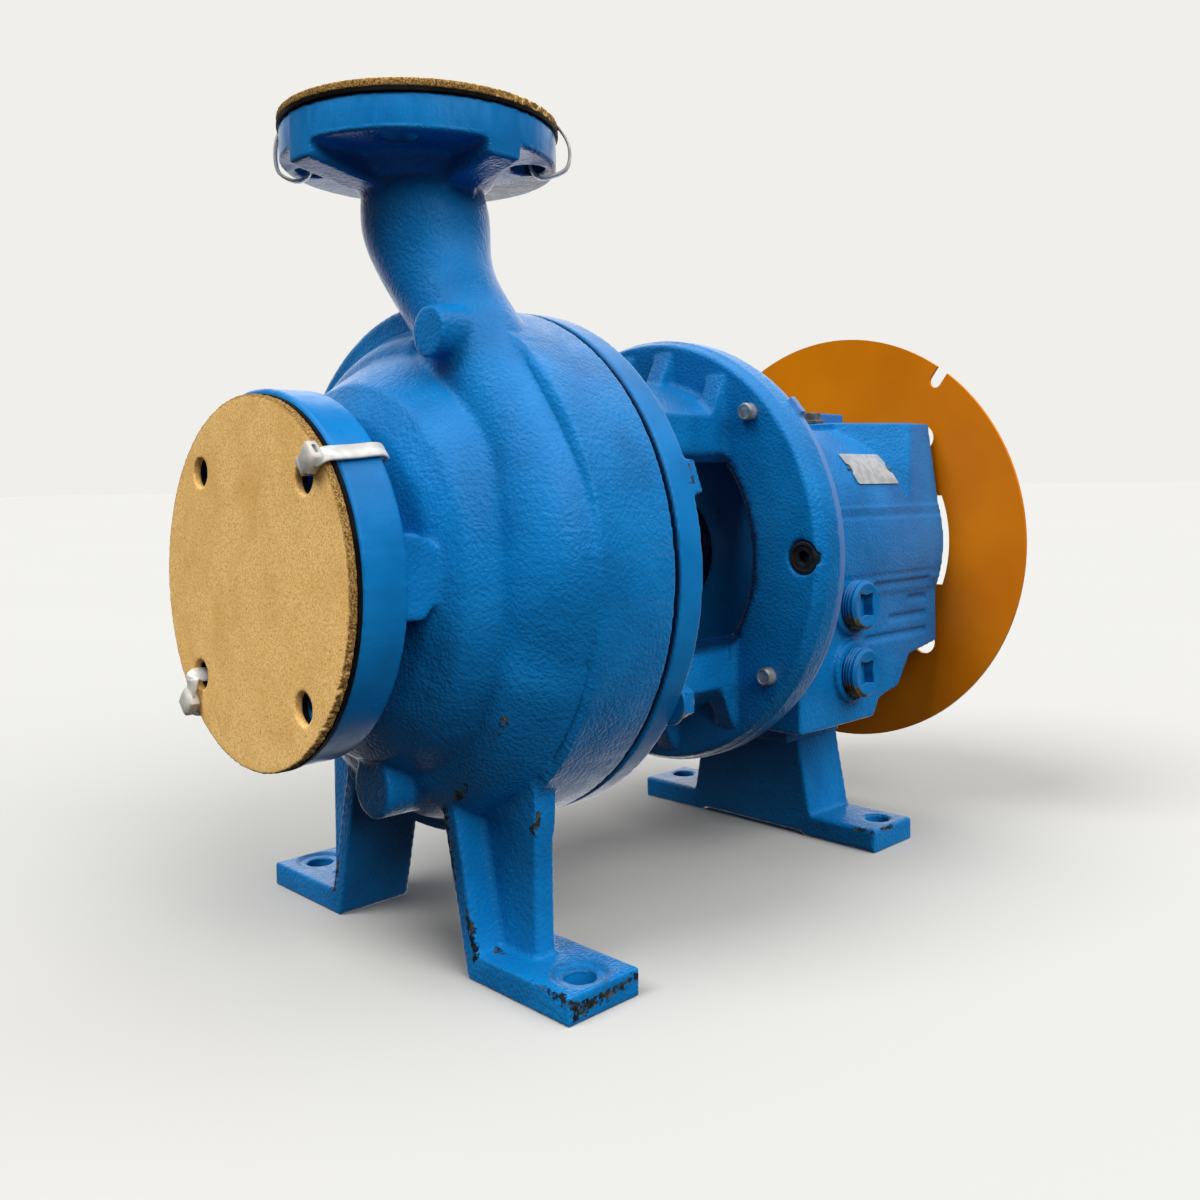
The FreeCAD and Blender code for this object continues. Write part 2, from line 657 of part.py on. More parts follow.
def make_seal_end():
    """The seal chamber in the adapter's register, its gland, and the sleeve on the shaft."""
    bore = "shaft_seal_radius + running_clearance"
    sleeve_bore = "sleeve_radius + running_clearance"
    spigot_back = f"{ADAPTER_FRONT} + chamber_spigot_depth"
    finish(turned("chamber_turned", (
        ("rim_back", bore),
        ("rim_back", "chamber_flange_radius"),
        (ADAPTER_FRONT, "chamber_flange_radius"),
        (ADAPTER_FRONT, "chamber_spigot_radius"),
        (spigot_back, "chamber_spigot_radius"),
        (spigot_back, "chamber_hub_radius + chamber_taper_rise"),
        (f"{spigot_back} + chamber_taper_length", "chamber_hub_radius"),
        ("chamber_hub_back", "chamber_hub_radius"),
        ("chamber_hub_back", sleeve_bore),
        (f"{spigot_back}", sleeve_bore),
        (f"{spigot_back}", bore),
    )), "seal_chamber")
    gland_back = "chamber_hub_back + gland_thick"
    plate = turned("gland_turned", (
        ("chamber_hub_back", sleeve_bore),
        ("chamber_hub_back", "gland_radius"),
        (gland_back, "gland_radius"),
        (gland_back, "gland_neck_radius"),
        (f"{gland_back} + gland_neck_length", "gland_neck_radius"),
        (f"{gland_back} + gland_neck_length", sleeve_bore),
    ))
    slots = bolt_holes("gland_slot", "gland_stud_radius + 1", "gland_stud_circle",
                       "chamber_hub_back - 1", f"{gland_back} + 1", FOUR_HOLES)
    finish(cut("gland_slotted", plate, slots), "seal_gland")
    finish(turned("sleeve_turned", (
        (f"{spigot_back} + 1", bore),
        (f"{spigot_back} + 1", "sleeve_radius"),
        ("sleeve_back - sleeve_collar_length", "sleeve_radius"),
        ("sleeve_back - sleeve_collar_length", "sleeve_collar_radius"),
        ("sleeve_back", "sleeve_collar_radius"),
        ("sleeve_back", bore),
    )), "shaft_sleeve")


def make_shaft():
    """The stepped shaft from the seal chamber to the coupling end, with its keyway."""
    body_back = "frame_back - shaft_body_inset"
    end_front = "shaft_reach - shaft_end_length"
    blank = turned("shaft_turned", (
        ("rim_back", "0"),
        ("rim_back", "shaft_seal_radius"),
        ("shaft_body_front", "shaft_seal_radius"),
        ("shaft_body_front", "shaft_body_radius"),
        (body_back, "shaft_body_radius"),
        (body_back, "shaft_housing_radius"),
        (end_front, "shaft_housing_radius"),
        (end_front, "shaft_end_radius"),
        ("shaft_reach - shaft_end_chamfer", "shaft_end_radius"),
        ("shaft_reach", "shaft_end_radius - shaft_end_chamfer"),
        ("shaft_reach", "0"),
    ))
    floor = "shaft_height + shaft_end_radius - keyway_depth"
    slot = box("keyway_slot", ("-0.5 * keyway_width", "0.5 * keyway_width"),
               ("shaft_reach - keyway_length", "shaft_reach + 1"), (floor, f"{floor} + 10"))
    finish(cut("shaft_keyed", blank, [slot]), "pump_shaft")


def make_adapter():
    """The frame adapter: a front ring, four arms with side windows between them, and a rear disc."""
    front_ring = ring("adapter_front", "rim_radius", "chamber_spigot_radius + running_clearance",
                      ADAPTER_FRONT, "adapter_flange_back")
    barrel = ring("adapter_barrel", "adapter_barrel_radius", "adapter_barrel_bore",
                  "adapter_flange_back - adapter_barrel_root", "adapter_disc_front + 1")
    web = ring("adapter_web", "adapter_web_radius", "adapter_web_bore",
               f"{ADAPTER_FRONT} + chamber_spigot_depth", "adapter_flange_back")
    rear = turned("adapter_rear", (
        ("adapter_disc_front", "adapter_barrel_bore"),
        ("adapter_disc_front", "adapter_disc_edge_radius"),
        ("adapter_disc_front + adapter_disc_bevel", "adapter_disc_radius"),
        ("adapter_disc_back", "adapter_disc_radius"),
        ("adapter_disc_back", "adapter_barrel_bore"),
    ))
    # Side windows: the barrel is trimmed flat on both sides, a little wider below the shaft than above
    span_y = ("adapter_flange_back", "adapter_disc_front")
    high = ("shaft_height", "shaft_height + adapter_barrel_radius + 1")
    low = ("shaft_height - adapter_barrel_radius - 1", "shaft_height")
    out = "adapter_barrel_radius + 1"
    tools = [
        box("window_upper_right", ("adapter_top_half", out), span_y, high),
        box("window_upper_left", (f"-({out})", "-adapter_top_half"), span_y, high),
        box("window_lower_right", ("adapter_bottom_half", out), span_y, low),
        box("window_lower_left", (f"-({out})", "-adapter_bottom_half"), span_y, low),
        box("slot_top_and_bottom", ("-adapter_slot_half", "adapter_slot_half"),
            ("adapter_slot_front", "adapter_disc_front"),
            ("shaft_height - adapter_barrel_radius - 1", "shaft_height + adapter_barrel_radius + 1")),
    ]
    arms = cut("adapter_arms", barrel, tools)
    lug_y = ("adapter_flange_back - 1", "adapter_lug_back")
    lug = radial_box("adapter_lug", ("adapter_lug_inner", "rim_radius"), lug_y,
                     "adapter_lug_width", "adapter_lug_angle")
    solids = [front_ring, web, rear, arms, lug]
    # Gussets from the arms up the face of the rear disc
    rib_y = ("adapter_disc_front - adapter_rib_depth", "adapter_disc_front + 1")
    inner_x = ("adapter_slot_half", "adapter_slot_half + adapter_rib_width")
    for row, half, sign in (("upper", "adapter_top_half", 1), ("lower", "adapter_bottom_half", -1)):
        outer_x = (f"{half} - adapter_rib_width", half)
        for place_name, (x_low, x_high) in (("inner", inner_x), ("outer", outer_x)):
            base = f"sqrt(adapter_barrel_radius ^ 2 - ({x_high}) ^ 2)"
            tip = f"sqrt(adapter_rib_tip ^ 2 - ({x_high}) ^ 2)"
            for side in (1, -1):
                name = f"adapter_rib_{row}_{place_name}_{'right' if side > 0 else 'left'}"
                x_pair = (x_low, x_high) if side > 0 else (f"-({x_high})", f"-({x_low})")
                if sign > 0:
                    front = (f"shaft_height + {base} - adapter_rib_blunt", f"shaft_height + {base}")
                    back = (f"shaft_height + {base} - adapter_rib_blunt", f"shaft_height + {tip}")
                else:
                    front = (f"shaft_height - {base}", f"shaft_height - {base} + adapter_rib_blunt")
                    back = (f"shaft_height - {tip}", f"shaft_height - {base} + adapter_rib_blunt")
                solids.append(wedge(name, x_pair, x_pair, rib_y, front, back))
    body = fuse("adapter_body", solids)
    holes = bolt_holes("adapter_plug_hole", "adapter_plug_radius + running_clearance",
                       "adapter_plug_circle", "adapter_disc_front - 1",
                       "adapter_disc_front + adapter_plug_depth", (0, 180))
    finish(cut("adapter_machined", body, holes), "frame_adapter")
    for label, angle in (("adapter_plug_right", 0), ("adapter_plug_left", 180)):
        plug = bolt_holes(f"{label}_cap", "adapter_plug_radius", "adapter_plug_circle",
                          "adapter_disc_front + 1", "adapter_disc_front + adapter_plug_depth", (angle,))[0]
        finish(plug, label)


def make_rear_corners():
    """Both rear corners of the frame. They flare out of the barrel, and lean in toward the flat top."""
    upright = FreeCAD.Rotation(X_AXIS, 90)
    limits = []
    for side, sign in (("right", 1), ("left", -1)):
        flare = doc.addObject("Part::Wedge", f"corner_flare_{side}")
        swing = FreeCAD.Rotation(FreeCAD.Vector(0, 0, 1), -sign * CORNER_FLARE)
        flare.Placement.Rotation = swing.multiply(upright)
        place(flare, f"{sign} * corner_low_half", "corner_bend", "shaft_height")
        bind(flare, Ymin="0", Ymax="frame_top_height")
        bind(flare, Zmin="-corner_low_half", Zmax="2.5 * corner_low_half")
        bind(flare, Z2min="-corner_low_half", Z2max="2.5 * corner_low_half")
        if sign > 0:
            bind(flare, Xmin="-3 * corner_low_half", Xmax="0")
            bind(flare, X2min="-3 * corner_low_half", X2max="-corner_draft")
        else:
            bind(flare, Xmin="0", Xmax="3 * corner_low_half")
            bind(flare, X2min="corner_draft", X2max="3 * corner_low_half")
        limits.append(flare)
    lean = doc.addObject("Part::Wedge", "corner_lean")
    lean.Placement.Rotation = upright
    bind(lean, Ymin="shaft_height", Ymax="shaft_height + frame_top_height")
    bind(lean, Xmin="-corner_low_half", Xmax="corner_low_half")
    bind(lean, X2min="-corner_top_half", X2max="corner_top_half")
    bind(lean, Zmin="-frame_back", Zmax="-frame_flat_front", Z2min="-frame_back", Z2max="-frame_flat_front")
    return common("rear_corners", limits + [lean])


def make_frame():
    """The bearing frame: flange, bearing barrel, flat topped rear, oil sump and the pad for its foot."""
    seal_bore = "inboard_seal_radius + running_clearance"
    barrel = turned("frame_barrel", (
        ("adapter_disc_back", "0"),
        ("adapter_disc_back", "frame_flange_radius - frame_flange_chamfer"),
        ("adapter_disc_back + frame_flange_chamfer", "frame_flange_radius"),
        ("frame_flange_back - frame_flange_bevel", "frame_flange_radius"),
        ("frame_flange_back", "frame_flange_radius - frame_flange_bevel"),
        ("frame_flange_back", "frame_barrel_radius + frame_fillet_rise"),
        ("frame_flange_back + frame_fillet_length", "frame_barrel_radius"),
        ("frame_back", "frame_barrel_radius"),
        ("frame_back", "0"),
    ))
    corners = make_rear_corners()
    sump = padded("frame_sump", "2 * sump_half", (
        ("sump_front", "-sump_top_drop"),
        ("sump_front", "-sump_drop"),
        ("sump_step_front", "-sump_drop"),
        ("sump_step_root", "-sump_step_drop"),
        ("sump_step_back", "-sump_step_end_drop"),
        ("sump_tail_front", "-sump_tail_drop"),
        ("frame_back", "-sump_tail_end_drop"),
        ("frame_back", "-sump_top_drop"),
    ))
    pad = box("frame_pad", ("-frame_pad_half", "frame_pad_half"), ("frame_pad_front", "frame_pad_back"),
              ("frame_foot_seam", "shaft_height - sump_drop + 1"))
    lug_front = "adapter_disc_back + frame_flange_chamfer"
    lug = radial_box("frame_lug", ("frame_barrel_radius", "frame_lug_radius"),
                     (lug_front, f"{lug_front} + frame_lug_thick"), "frame_lug_width", "frame_lug_angle")
    solids = [barrel, corners, sump, pad, lug]
    for row in ("upper", "lower"):
        z_text = f"shaft_height - {row}_port_drop"
        for side, start, end in (("right", "0.5 * sump_half", "port_boss_reach"),
                                 ("left", "-port_boss_reach", "-0.5 * sump_half")):
            solids.append(rod(f"port_boss_{row}_{side}", "x", "port_boss_radius", start, end,
                              "port_axis_y", z_text))
    # The top is flat, in two steps, and grooves run along both sides of the rear, the second one the shortest
    trims = []
    for step, end in (("flat", "frame_top_front"), ("top", "frame_back + 1")):
        trims.append(box(f"frame_{step}_cut", ("-frame_barrel_radius - 1", "frame_barrel_radius + 1"),
                         (f"frame_{step}_front", end),
                         (f"shaft_height + frame_{step}_height", "shaft_height + frame_barrel_radius + 1")))
    for index, row in enumerate(("top", "second", "third", "low")):
        groove_floor = "side_groove_floor" if index else "side_groove_top_floor"
        groove_top = f"shaft_height - side_groove_drop - {index} * side_groove_pitch"
        y_span = (f"{row}_groove_front", "side_groove_back")
        z_span = (f"{groove_top} - side_groove_height", groove_top)
        out = "frame_barrel_radius + 1"
        trims.append(box(f"{row}_groove_right", (groove_floor, out), y_span, z_span))
        trims.append(box(f"{row}_groove_left", (f"-({out})", f"-{groove_floor}"), y_span, z_span))
    trimmed = cut("frame_trimmed", fuse("frame_rough", solids), trims)
    top_pad = box("frame_top_pad", ("-top_pad_half", "top_pad_half"), ("top_pad_front", "top_pad_back"),
                  ("shaft_height + frame_top_height - 1", "shaft_height + frame_top_height + top_pad_height"))
    filler_top = "shaft_height + frame_top_height"
    body = fuse("frame_body", [trimmed, top_pad])
    shaft_bore = "shaft_body_radius + running_clearance"
    tools = [
        rod("frame_bore", "y", shaft_bore, "shaft_body_front - 1", "frame_back + 1", 0, "shaft_height"),
        rod("seal_bore", "y", seal_bore, "adapter_disc_back - 1",
            "adapter_disc_back + inboard_seal_depth", 0, "shaft_height"),
        rod("seal_neck", "y", "shaft_seal_radius + running_clearance", "adapter_disc_back",
            "frame_back", 0, "shaft_height"),
    ]
    for row in ("upper", "lower"):
        z_text = f"shaft_height - {row}_port_drop"
        port = "port_radius + running_clearance"
        tools.append(rod(f"port_{row}_right", "x", port, "port_boss_reach - port_depth",
                         "port_boss_reach + 1", "port_axis_y", z_text))
        tools.append(rod(f"port_{row}_left", "x", port, "-port_boss_reach - 1",
                         "-port_boss_reach + port_depth", "port_axis_y", z_text))
    tools.append(rod("filler_port", "z", "filler_radius - 2", f"{filler_top} - port_depth",
                     f"{filler_top} + 5", "filler_axis_x", "filler_axis_y"))
    finish(cut("frame_machined", body, tools), "bearing_frame")


def make_port_plug(label, row, side):
    """A square socket pipe plug screwed into a side port."""
    z_text = f"shaft_height - {row}_port_drop"
    if side == "right":
        shank_span = ("port_boss_reach - port_depth + 1", "port_boss_reach + 2")
        head_span = ("port_boss_reach + 1", "port_boss_reach + 1 + plug_head_height")
        socket_x = ("port_boss_reach + 1 + plug_head_height - plug_square_depth",
                    "port_boss_reach + 2 + plug_head_height")
    else:
        shank_span = ("-port_boss_reach - 2", "-port_boss_reach + port_depth - 1")
        head_span = ("-port_boss_reach - 1 - plug_head_height", "-port_boss_reach - 1")
        socket_x = ("-port_boss_reach - 2 - plug_head_height",
                    "-port_boss_reach - 1 - plug_head_height + plug_square_depth")
    shank = rod(f"{label}_shank", "x", "port_radius", shank_span[0], shank_span[1], "port_axis_y", z_text)
    head = rod(f"{label}_head", "x", "plug_head_radius", head_span[0], head_span[1], "port_axis_y", z_text)
    half = "0.5 * plug_square"
    socket = box(f"{label}_socket", socket_x, (f"port_axis_y - {half}", f"port_axis_y + {half}"),
                 (f"{z_text} - {half}", f"{z_text} + {half}"))
    finish(cut(f"{label}_broached", fuse(f"{label}_blank", [shank, head]), [socket]), label)


def make_sight_glass():
    """The round oil window on the left side, level with the upper plug on the right."""
    z_text = "shaft_height - upper_port_drop"
    face = "-port_boss_reach"
    shank = rod("sight_shank", "x", "port_radius", f"{face} - 2", f"{face} + port_depth - 1",
                "port_axis_y", z_text)
    seat = f"{face} - sight_pane_seat"
    rim = rod("sight_rim", "x", "plug_head_radius", f"{face} - sight_rim_reach", f"{face} - 1",
              "port_axis_y", z_text)
    hole = rod("sight_hole", "x", "sight_pane_radius + running_clearance", f"{face} - sight_rim_reach - 1",
               seat, "port_axis_y", z_text)
    finish(cut("sight_bezel", fuse("sight_blank", [shank, rim]), [hole]), "sight_glass_bezel")
    finish(rod("sight_pane", "x", "sight_pane_radius", f"{face} - sight_pane_reach", seat,
               "port_axis_y", z_text), "sight_glass_pane")


def make_small_pieces():
    """The oil filler plug, and both shaft seals of the bearing frame."""
    top = "shaft_height + frame_top_height"
    shank = rod("filler_shank", "z", "filler_radius - 2 - running_clearance", f"{top} - port_depth + 1",
                f"{top} + 2", "filler_axis_x", "filler_axis_y")
    head = rod("filler_head", "z", "filler_radius", f"{top} + 1", f"{top} + filler_height",
               "filler_axis_x", "filler_axis_y")
    collar = rod("filler_collar", "z", "filler_collar_radius", f"{top} + 0.5",
                 f"{top} + filler_collar_height", "filler_axis_x", "filler_axis_y")
    finish(fuse("filler_blank", [shank, head, collar]), "oil_filler_plug")
    bore = "shaft_seal_radius + running_clearance"
    back = "adapter_disc_back + inboard_seal_depth"
    finish(turned("inboard_seal_turned", (
        ("inboard_seal_front", bore),
        ("inboard_seal_front", "inboard_seal_radius - inboard_seal_step"),
        ("adapter_disc_back - inboard_seal_proud", "inboard_seal_radius - inboard_seal_step"),
        ("adapter_disc_back - inboard_seal_proud", "inboard_seal_radius"),
        (back, "inboard_seal_radius"),
        (back, bore),
    )), "inboard_oil_seal")
    outer_bore = "shaft_housing_radius + running_clearance"
    finish(ring("outboard_seal_turned", "outboard_seal_radius", outer_bore, "housing_hub_back",
                "housing_hub_back + outboard_seal_thick"), "outboard_oil_seal")


def make_housing_and_guard():
    """The thrust bearing housing closing the frame, and the guard end plate bolted to it."""
    plate_front = "frame_back + housing_flange_thick"
    plate_back = f"{plate_front} + guard_thick"
    bore = "shaft_housing_radius + running_clearance"
    finish(turned("housing_turned", (
        ("frame_back", bore),
        ("frame_back", "housing_flange_radius"),
        (plate_front, "housing_flange_radius"),
        (plate_front, "housing_hub_radius"),
        ("housing_hub_back - housing_hub_chamfer", "housing_hub_radius"),
        ("housing_hub_back", "housing_hub_radius - housing_hub_chamfer"),
        ("housing_hub_back", bore),
    )), "bearing_housing")
    disc = rod("guard_disc", "y", "guard_radius", plate_front, plate_back, 0, "shaft_height")
    through = (f"{plate_front} - 1", f"{plate_back} + 1")
    tools = [rod("guard_bore", "y", "housing_hub_radius + running_clearance", through[0], through[1],
                 0, "shaft_height")]
    # Notch in the edge, with a round end
    notch_root = "guard_radius - guard_notch_depth + 0.5 * guard_notch_width"
    tools += bolt_holes("guard_notch_end", "0.5 * guard_notch_width", notch_root, through[0], through[1],
                        ("guard_notch_angle",))
    tools.append(radial_box("guard_notch", (notch_root, "guard_radius + 5"), through,
                            "guard_notch_width", "guard_notch_angle"))
    # Round holes at the corners, and long slots at the sides
    tools += bolt_holes("guard_corner_hole", "guard_hole_radius", "guard_hole_circle",
                        through[0], through[1], FOUR_HOLES)
    for index, angle in enumerate((0, 180)):
        tools.append(arc_slot(f"guard_side_slot_{index}", "guard_side_inner", "guard_side_outer", through,
                              "guard_side_width", angle))
    finish(cut("guard_slotted", disc, tools), "guard_plate")


def make_frame_foot():
    """The separate foot under the bearing frame."""
    y_span = ("frame_foot_front", "frame_foot_back")
    pad = box("foot_pad", ("-frame_foot_half", "frame_foot_half"), y_span, ("0", "frame_foot_thick"))
    column = doc.addObject("Part::Wedge", "foot_column")
    column.Placement.Rotation = FreeCAD.Rotation(X_AXIS, 90)
    bind(column, Ymin="1", Ymax="frame_foot_seam")
    bind(column, Xmin="-frame_foot_column_low", Xmax="frame_foot_column_low")
    bind(column, X2min="-frame_foot_column_top", X2max="frame_foot_column_top")
    bind(column, Zmin="-frame_foot_back", Zmax="-frame_foot_front")
    bind(column, Z2min="-frame_foot_back", Z2max="-frame_foot_front")
    relief = box("foot_relief", ("-frame_foot_relief_half", "frame_foot_relief_half"),
                 ("frame_foot_front - 1", "frame_foot_back + 1"), ("-1", "frame_foot_relief"))
    tools = [relief]
    for side, sign in (("right", ""), ("left", "-")):
        tools.append(rod(f"frame_foot_hole_{side}", "z", "foot_hole_radius", "-1", "frame_foot_thick + 1",
                         f"{sign}frame_foot_bolt_half", "foot_bolt_distance"))
    finish(cut("foot_machined", fuse("foot_body", [pad, column]), tools), "frame_foot")


make_casing()
make_covers()
make_seal_end()
make_shaft()
make_adapter()
make_frame()
make_port_plug("upper_right_plug", "upper", "right")
make_port_plug("lower_right_plug", "lower", "right")
make_port_plug("lower_left_plug", "lower", "left")
make_sight_glass()
make_small_pieces()
make_housing_and_guard()
make_frame_foot()

doc.recompute()
faults = [thing.Name for thing in doc.Objects if "Invalid" in thing.State or "Error" in thing.State]
for piece in parts:
    if piece.Shape.isNull() or not piece.Shape.isValid() or len(piece.Shape.Solids) < 1:
        faults.append(piece.Label)
if faults:
    raise RuntimeError(f"failed objects: {faults}")

os.makedirs("parts", exist_ok=True)
for piece in parts:
    piece.Shape.exportStep(f"parts/{piece.Label}.step")
    print(piece.Label, len(piece.Shape.Solids), round(piece.Shape.Volume))
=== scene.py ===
import math

import bpy
import numpy as np
from mathutils import Matrix, Vector, noise


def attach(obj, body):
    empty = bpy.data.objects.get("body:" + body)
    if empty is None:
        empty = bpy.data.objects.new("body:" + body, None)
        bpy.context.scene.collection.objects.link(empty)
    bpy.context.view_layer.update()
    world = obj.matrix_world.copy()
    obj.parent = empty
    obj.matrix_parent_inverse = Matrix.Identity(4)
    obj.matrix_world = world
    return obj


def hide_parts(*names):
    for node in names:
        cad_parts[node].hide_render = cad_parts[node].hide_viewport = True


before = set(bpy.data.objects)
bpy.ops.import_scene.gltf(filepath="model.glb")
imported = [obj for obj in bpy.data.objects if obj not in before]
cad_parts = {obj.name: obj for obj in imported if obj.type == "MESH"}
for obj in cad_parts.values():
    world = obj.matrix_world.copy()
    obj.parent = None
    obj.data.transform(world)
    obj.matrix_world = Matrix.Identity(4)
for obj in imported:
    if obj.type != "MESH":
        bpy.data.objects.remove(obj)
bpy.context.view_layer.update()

# Looks of a blue end suction process pump, as delivered: shipping covers tied on, orange guard plate fitted.
# Sizes in this file are millimetres until they reach a mesh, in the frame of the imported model.

MM = 0.001
SHAFT_Z = 209.55
DISCHARGE_Z = 450.85
SUCTION_Y = -101.6
SUCTION_BACK = SUCTION_Y + 25.4
SUCTION_RADIUS = 95.25
DISCHARGE_RADIUS = 76.2
RIM_RADIUS = 147.5
COVER_STACK = 6.6  # a shipping cover and its rubber sheet
Y, Z = Vector((0, 1, 0)), Vector((0, 0, 1))


def tint(hex_text):
    """An sRGB hex colour as linear values."""
    shares = [int(hex_text[index:index + 2], 16) / 255 for index in (0, 2, 4)]
    return [s / 12.92 if s <= 0.04045 else ((s + 0.055) / 1.055) ** 2.4 for s in shares] + [1.0]


def per_mm(size):
    """The scale of a pattern whose features are this many millimetres across, in object coordinates."""
    return 1 / (size * MM)


def add(tree, kind, settings, result=0):
    """A node of one kind. A setting that is a socket gets linked. The result is one of its output sockets."""
    node = tree.nodes.new(kind)
    for name, value in settings.items():
        if name == "stops":
            node.color_ramp.elements.remove(node.color_ramp.elements[1])
            node.color_ramp.elements[0].position = value[0][0]
            node.color_ramp.elements[0].color = tint(value[0][1])
            for position, hex_text in value[1:]:
                node.color_ramp.elements.new(position).color = tint(hex_text)
        elif isinstance(value, bpy.types.NodeSocket):
            tree.links.new(value, node.inputs[name])
        elif isinstance(name, str) and hasattr(node, name):
            setattr(node, name, value)
        else:
            node.inputs[name].default_value = value
    return node.outputs[result]


def new_material(name, **plain):
    """A material, its node tree, its shader's inputs and object coordinates. Plain values go on the shader."""
    material = bpy.data.materials.new(name)
    material.use_nodes = True
    tree = material.node_tree
    inputs = tree.nodes["Principled BSDF"].inputs
    for socket, value in plain.items():
        inputs[socket.replace("_", " ")].default_value = value
    return material, tree, inputs, add(tree, "ShaderNodeTexCoord", {}, "Object")


# Materials

def enamel_on_casting(name, grain_height):
    """Gloss enamel sprayed over sand cast iron. The sand leaves an even grain under the paint, which the eye
    reads as coarse orange peel in the highlights. Worked faces are smoother, and knocked edges show dark iron."""
    material, tree, inputs, place = new_material(name, IOR=1.5, Coat_Weight=0.08, Coat_Roughness=0.12)
    # Sand grain of about 2 mm, lumps of about 9 mm and waves of about 45 mm
    grain = add(tree, "ShaderNodeTexNoise", {"Vector": place, "Scale": per_mm(2.0), "Detail": 1.0})
    lumps = add(tree, "ShaderNodeTexNoise", {"Vector": place, "Scale": per_mm(9), "Detail": 2.0})
    waves = add(tree, "ShaderNodeTexNoise", {"Vector": place, "Scale": per_mm(45), "Detail": 3.0})
    rust = add(tree, "ShaderNodeTexNoise", {"Vector": place, "Scale": per_mm(6), "Detail": 4.0})
    ragged = add(tree, "ShaderNodeTexNoise", {"Vector": place, "Scale": per_mm(3.2), "Detail": 5.0,
                                              "Roughness": 0.75})
    worked = add(tree, "ShaderNodeAttribute", {"attribute_name": "worked"}, "Fac")
    worn = add(tree, "ShaderNodeAttribute", {"attribute_name": "worn"}, "Fac")
    grime = add(tree, "ShaderNodeAttribute", {"attribute_name": "grime"}, "Fac")
    thin = add(tree, "ShaderNodeAttribute", {"attribute_name": "thin"}, "Fac")
    # Chips have ragged outlines a few millimetres wide, and only where the casting was knocked
    knocked = add(tree, "ShaderNodeMath", {"operation": "MULTIPLY_ADD", 0: worn, 1: 0.42, 2: ragged})
    chip = add(tree, "ShaderNodeMapRange", {0: knocked, 1: 0.83, 2: 0.85})
    shades = [(0.36, "0867A5"), (0.50, "0A70B2"), (0.66, "1078BB")]
    paint = add(tree, "ShaderNodeValToRGB", {0: waves, "stops": shades})
    # The rim of the frame's flange is painted paler, a greyish lilac blue
    pale = add(tree, "ShaderNodeAttribute", {"attribute_name": "pale"}, "Fac")
    pale = add(tree, "ShaderNodeMath", {"operation": "MULTIPLY", 0: pale, 1: 0.45})
    paint = add(tree, "ShaderNodeMix", {"data_type": "RGBA", 0: pale, 6: paint, 7: tint("7C92C4")}, 2)
    # Painted shade: the inside of the adapter and the joint behind the rim are darkened nearly to black, where shade
    # falls
    paint = add(tree, "ShaderNodeMix", {"data_type": "RGBA", 0: thin, 6: paint, 7: tint("06254A")}, 2)
    soil = add(tree, "ShaderNodeMath", {"operation": "MULTIPLY", 0: grime, 1: rust})
    soil = add(tree, "ShaderNodeMapRange", {0: soil, 1: 0.25, 2: 0.6, 4: 0.4})
    paint = add(tree, "ShaderNodeMix", {"data_type": "RGBA", 0: soil, 6: paint, 7: tint("2C3328")}, 2)
    shades = [(0.40, "141A1E"), (0.55, "2E3432"), (0.68, "6A6450")]
    iron = add(tree, "ShaderNodeValToRGB", {0: rust, "stops": shades})
    tree.links.new(add(tree, "ShaderNodeMix", {"data_type": "RGBA", 0: chip, 6: paint, 7: iron}, 2),
                   inputs["Base Color"])
    gloss = add(tree, "ShaderNodeMapRange", {0: lumps, 1: 0.3, 2: 0.7, 3: 0.26, 4: 0.38})
    dull = add(tree, "ShaderNodeMath", {"operation": "MAXIMUM", 0: chip, 1: soil})
    tree.links.new(add(tree, "ShaderNodeMix", {0: dull, 2: gloss, 3: 0.8}), inputs["Roughness"])
    # Heights in millimetres: grain and lumps fade on worked faces, and a chip is as deep as the paint
    height = add(tree, "ShaderNodeMath", {"operation": "MULTIPLY_ADD", 0: lumps, 1: 0.7, 2: grain})
    share = add(tree, "ShaderNodeMapRange", {0: worked, 3: grain_height, 4: 0.16 * grain_height})
    height = add(tree, "ShaderNodeMath", {"operation": "MULTIPLY", 0: height, 1: share})
    height = add(tree, "ShaderNodeMath", {"operation": "MULTIPLY_ADD", 0: waves, 1: 0.8, 2: height})
    height = add(tree, "ShaderNodeMath", {"operation": "MULTIPLY_ADD", 0: chip, 1: -0.25, 2: height})
    tree.links.new(add(tree, "ShaderNodeBump", {"Distance": MM, "Height": height}), inputs["Normal"])
    return material


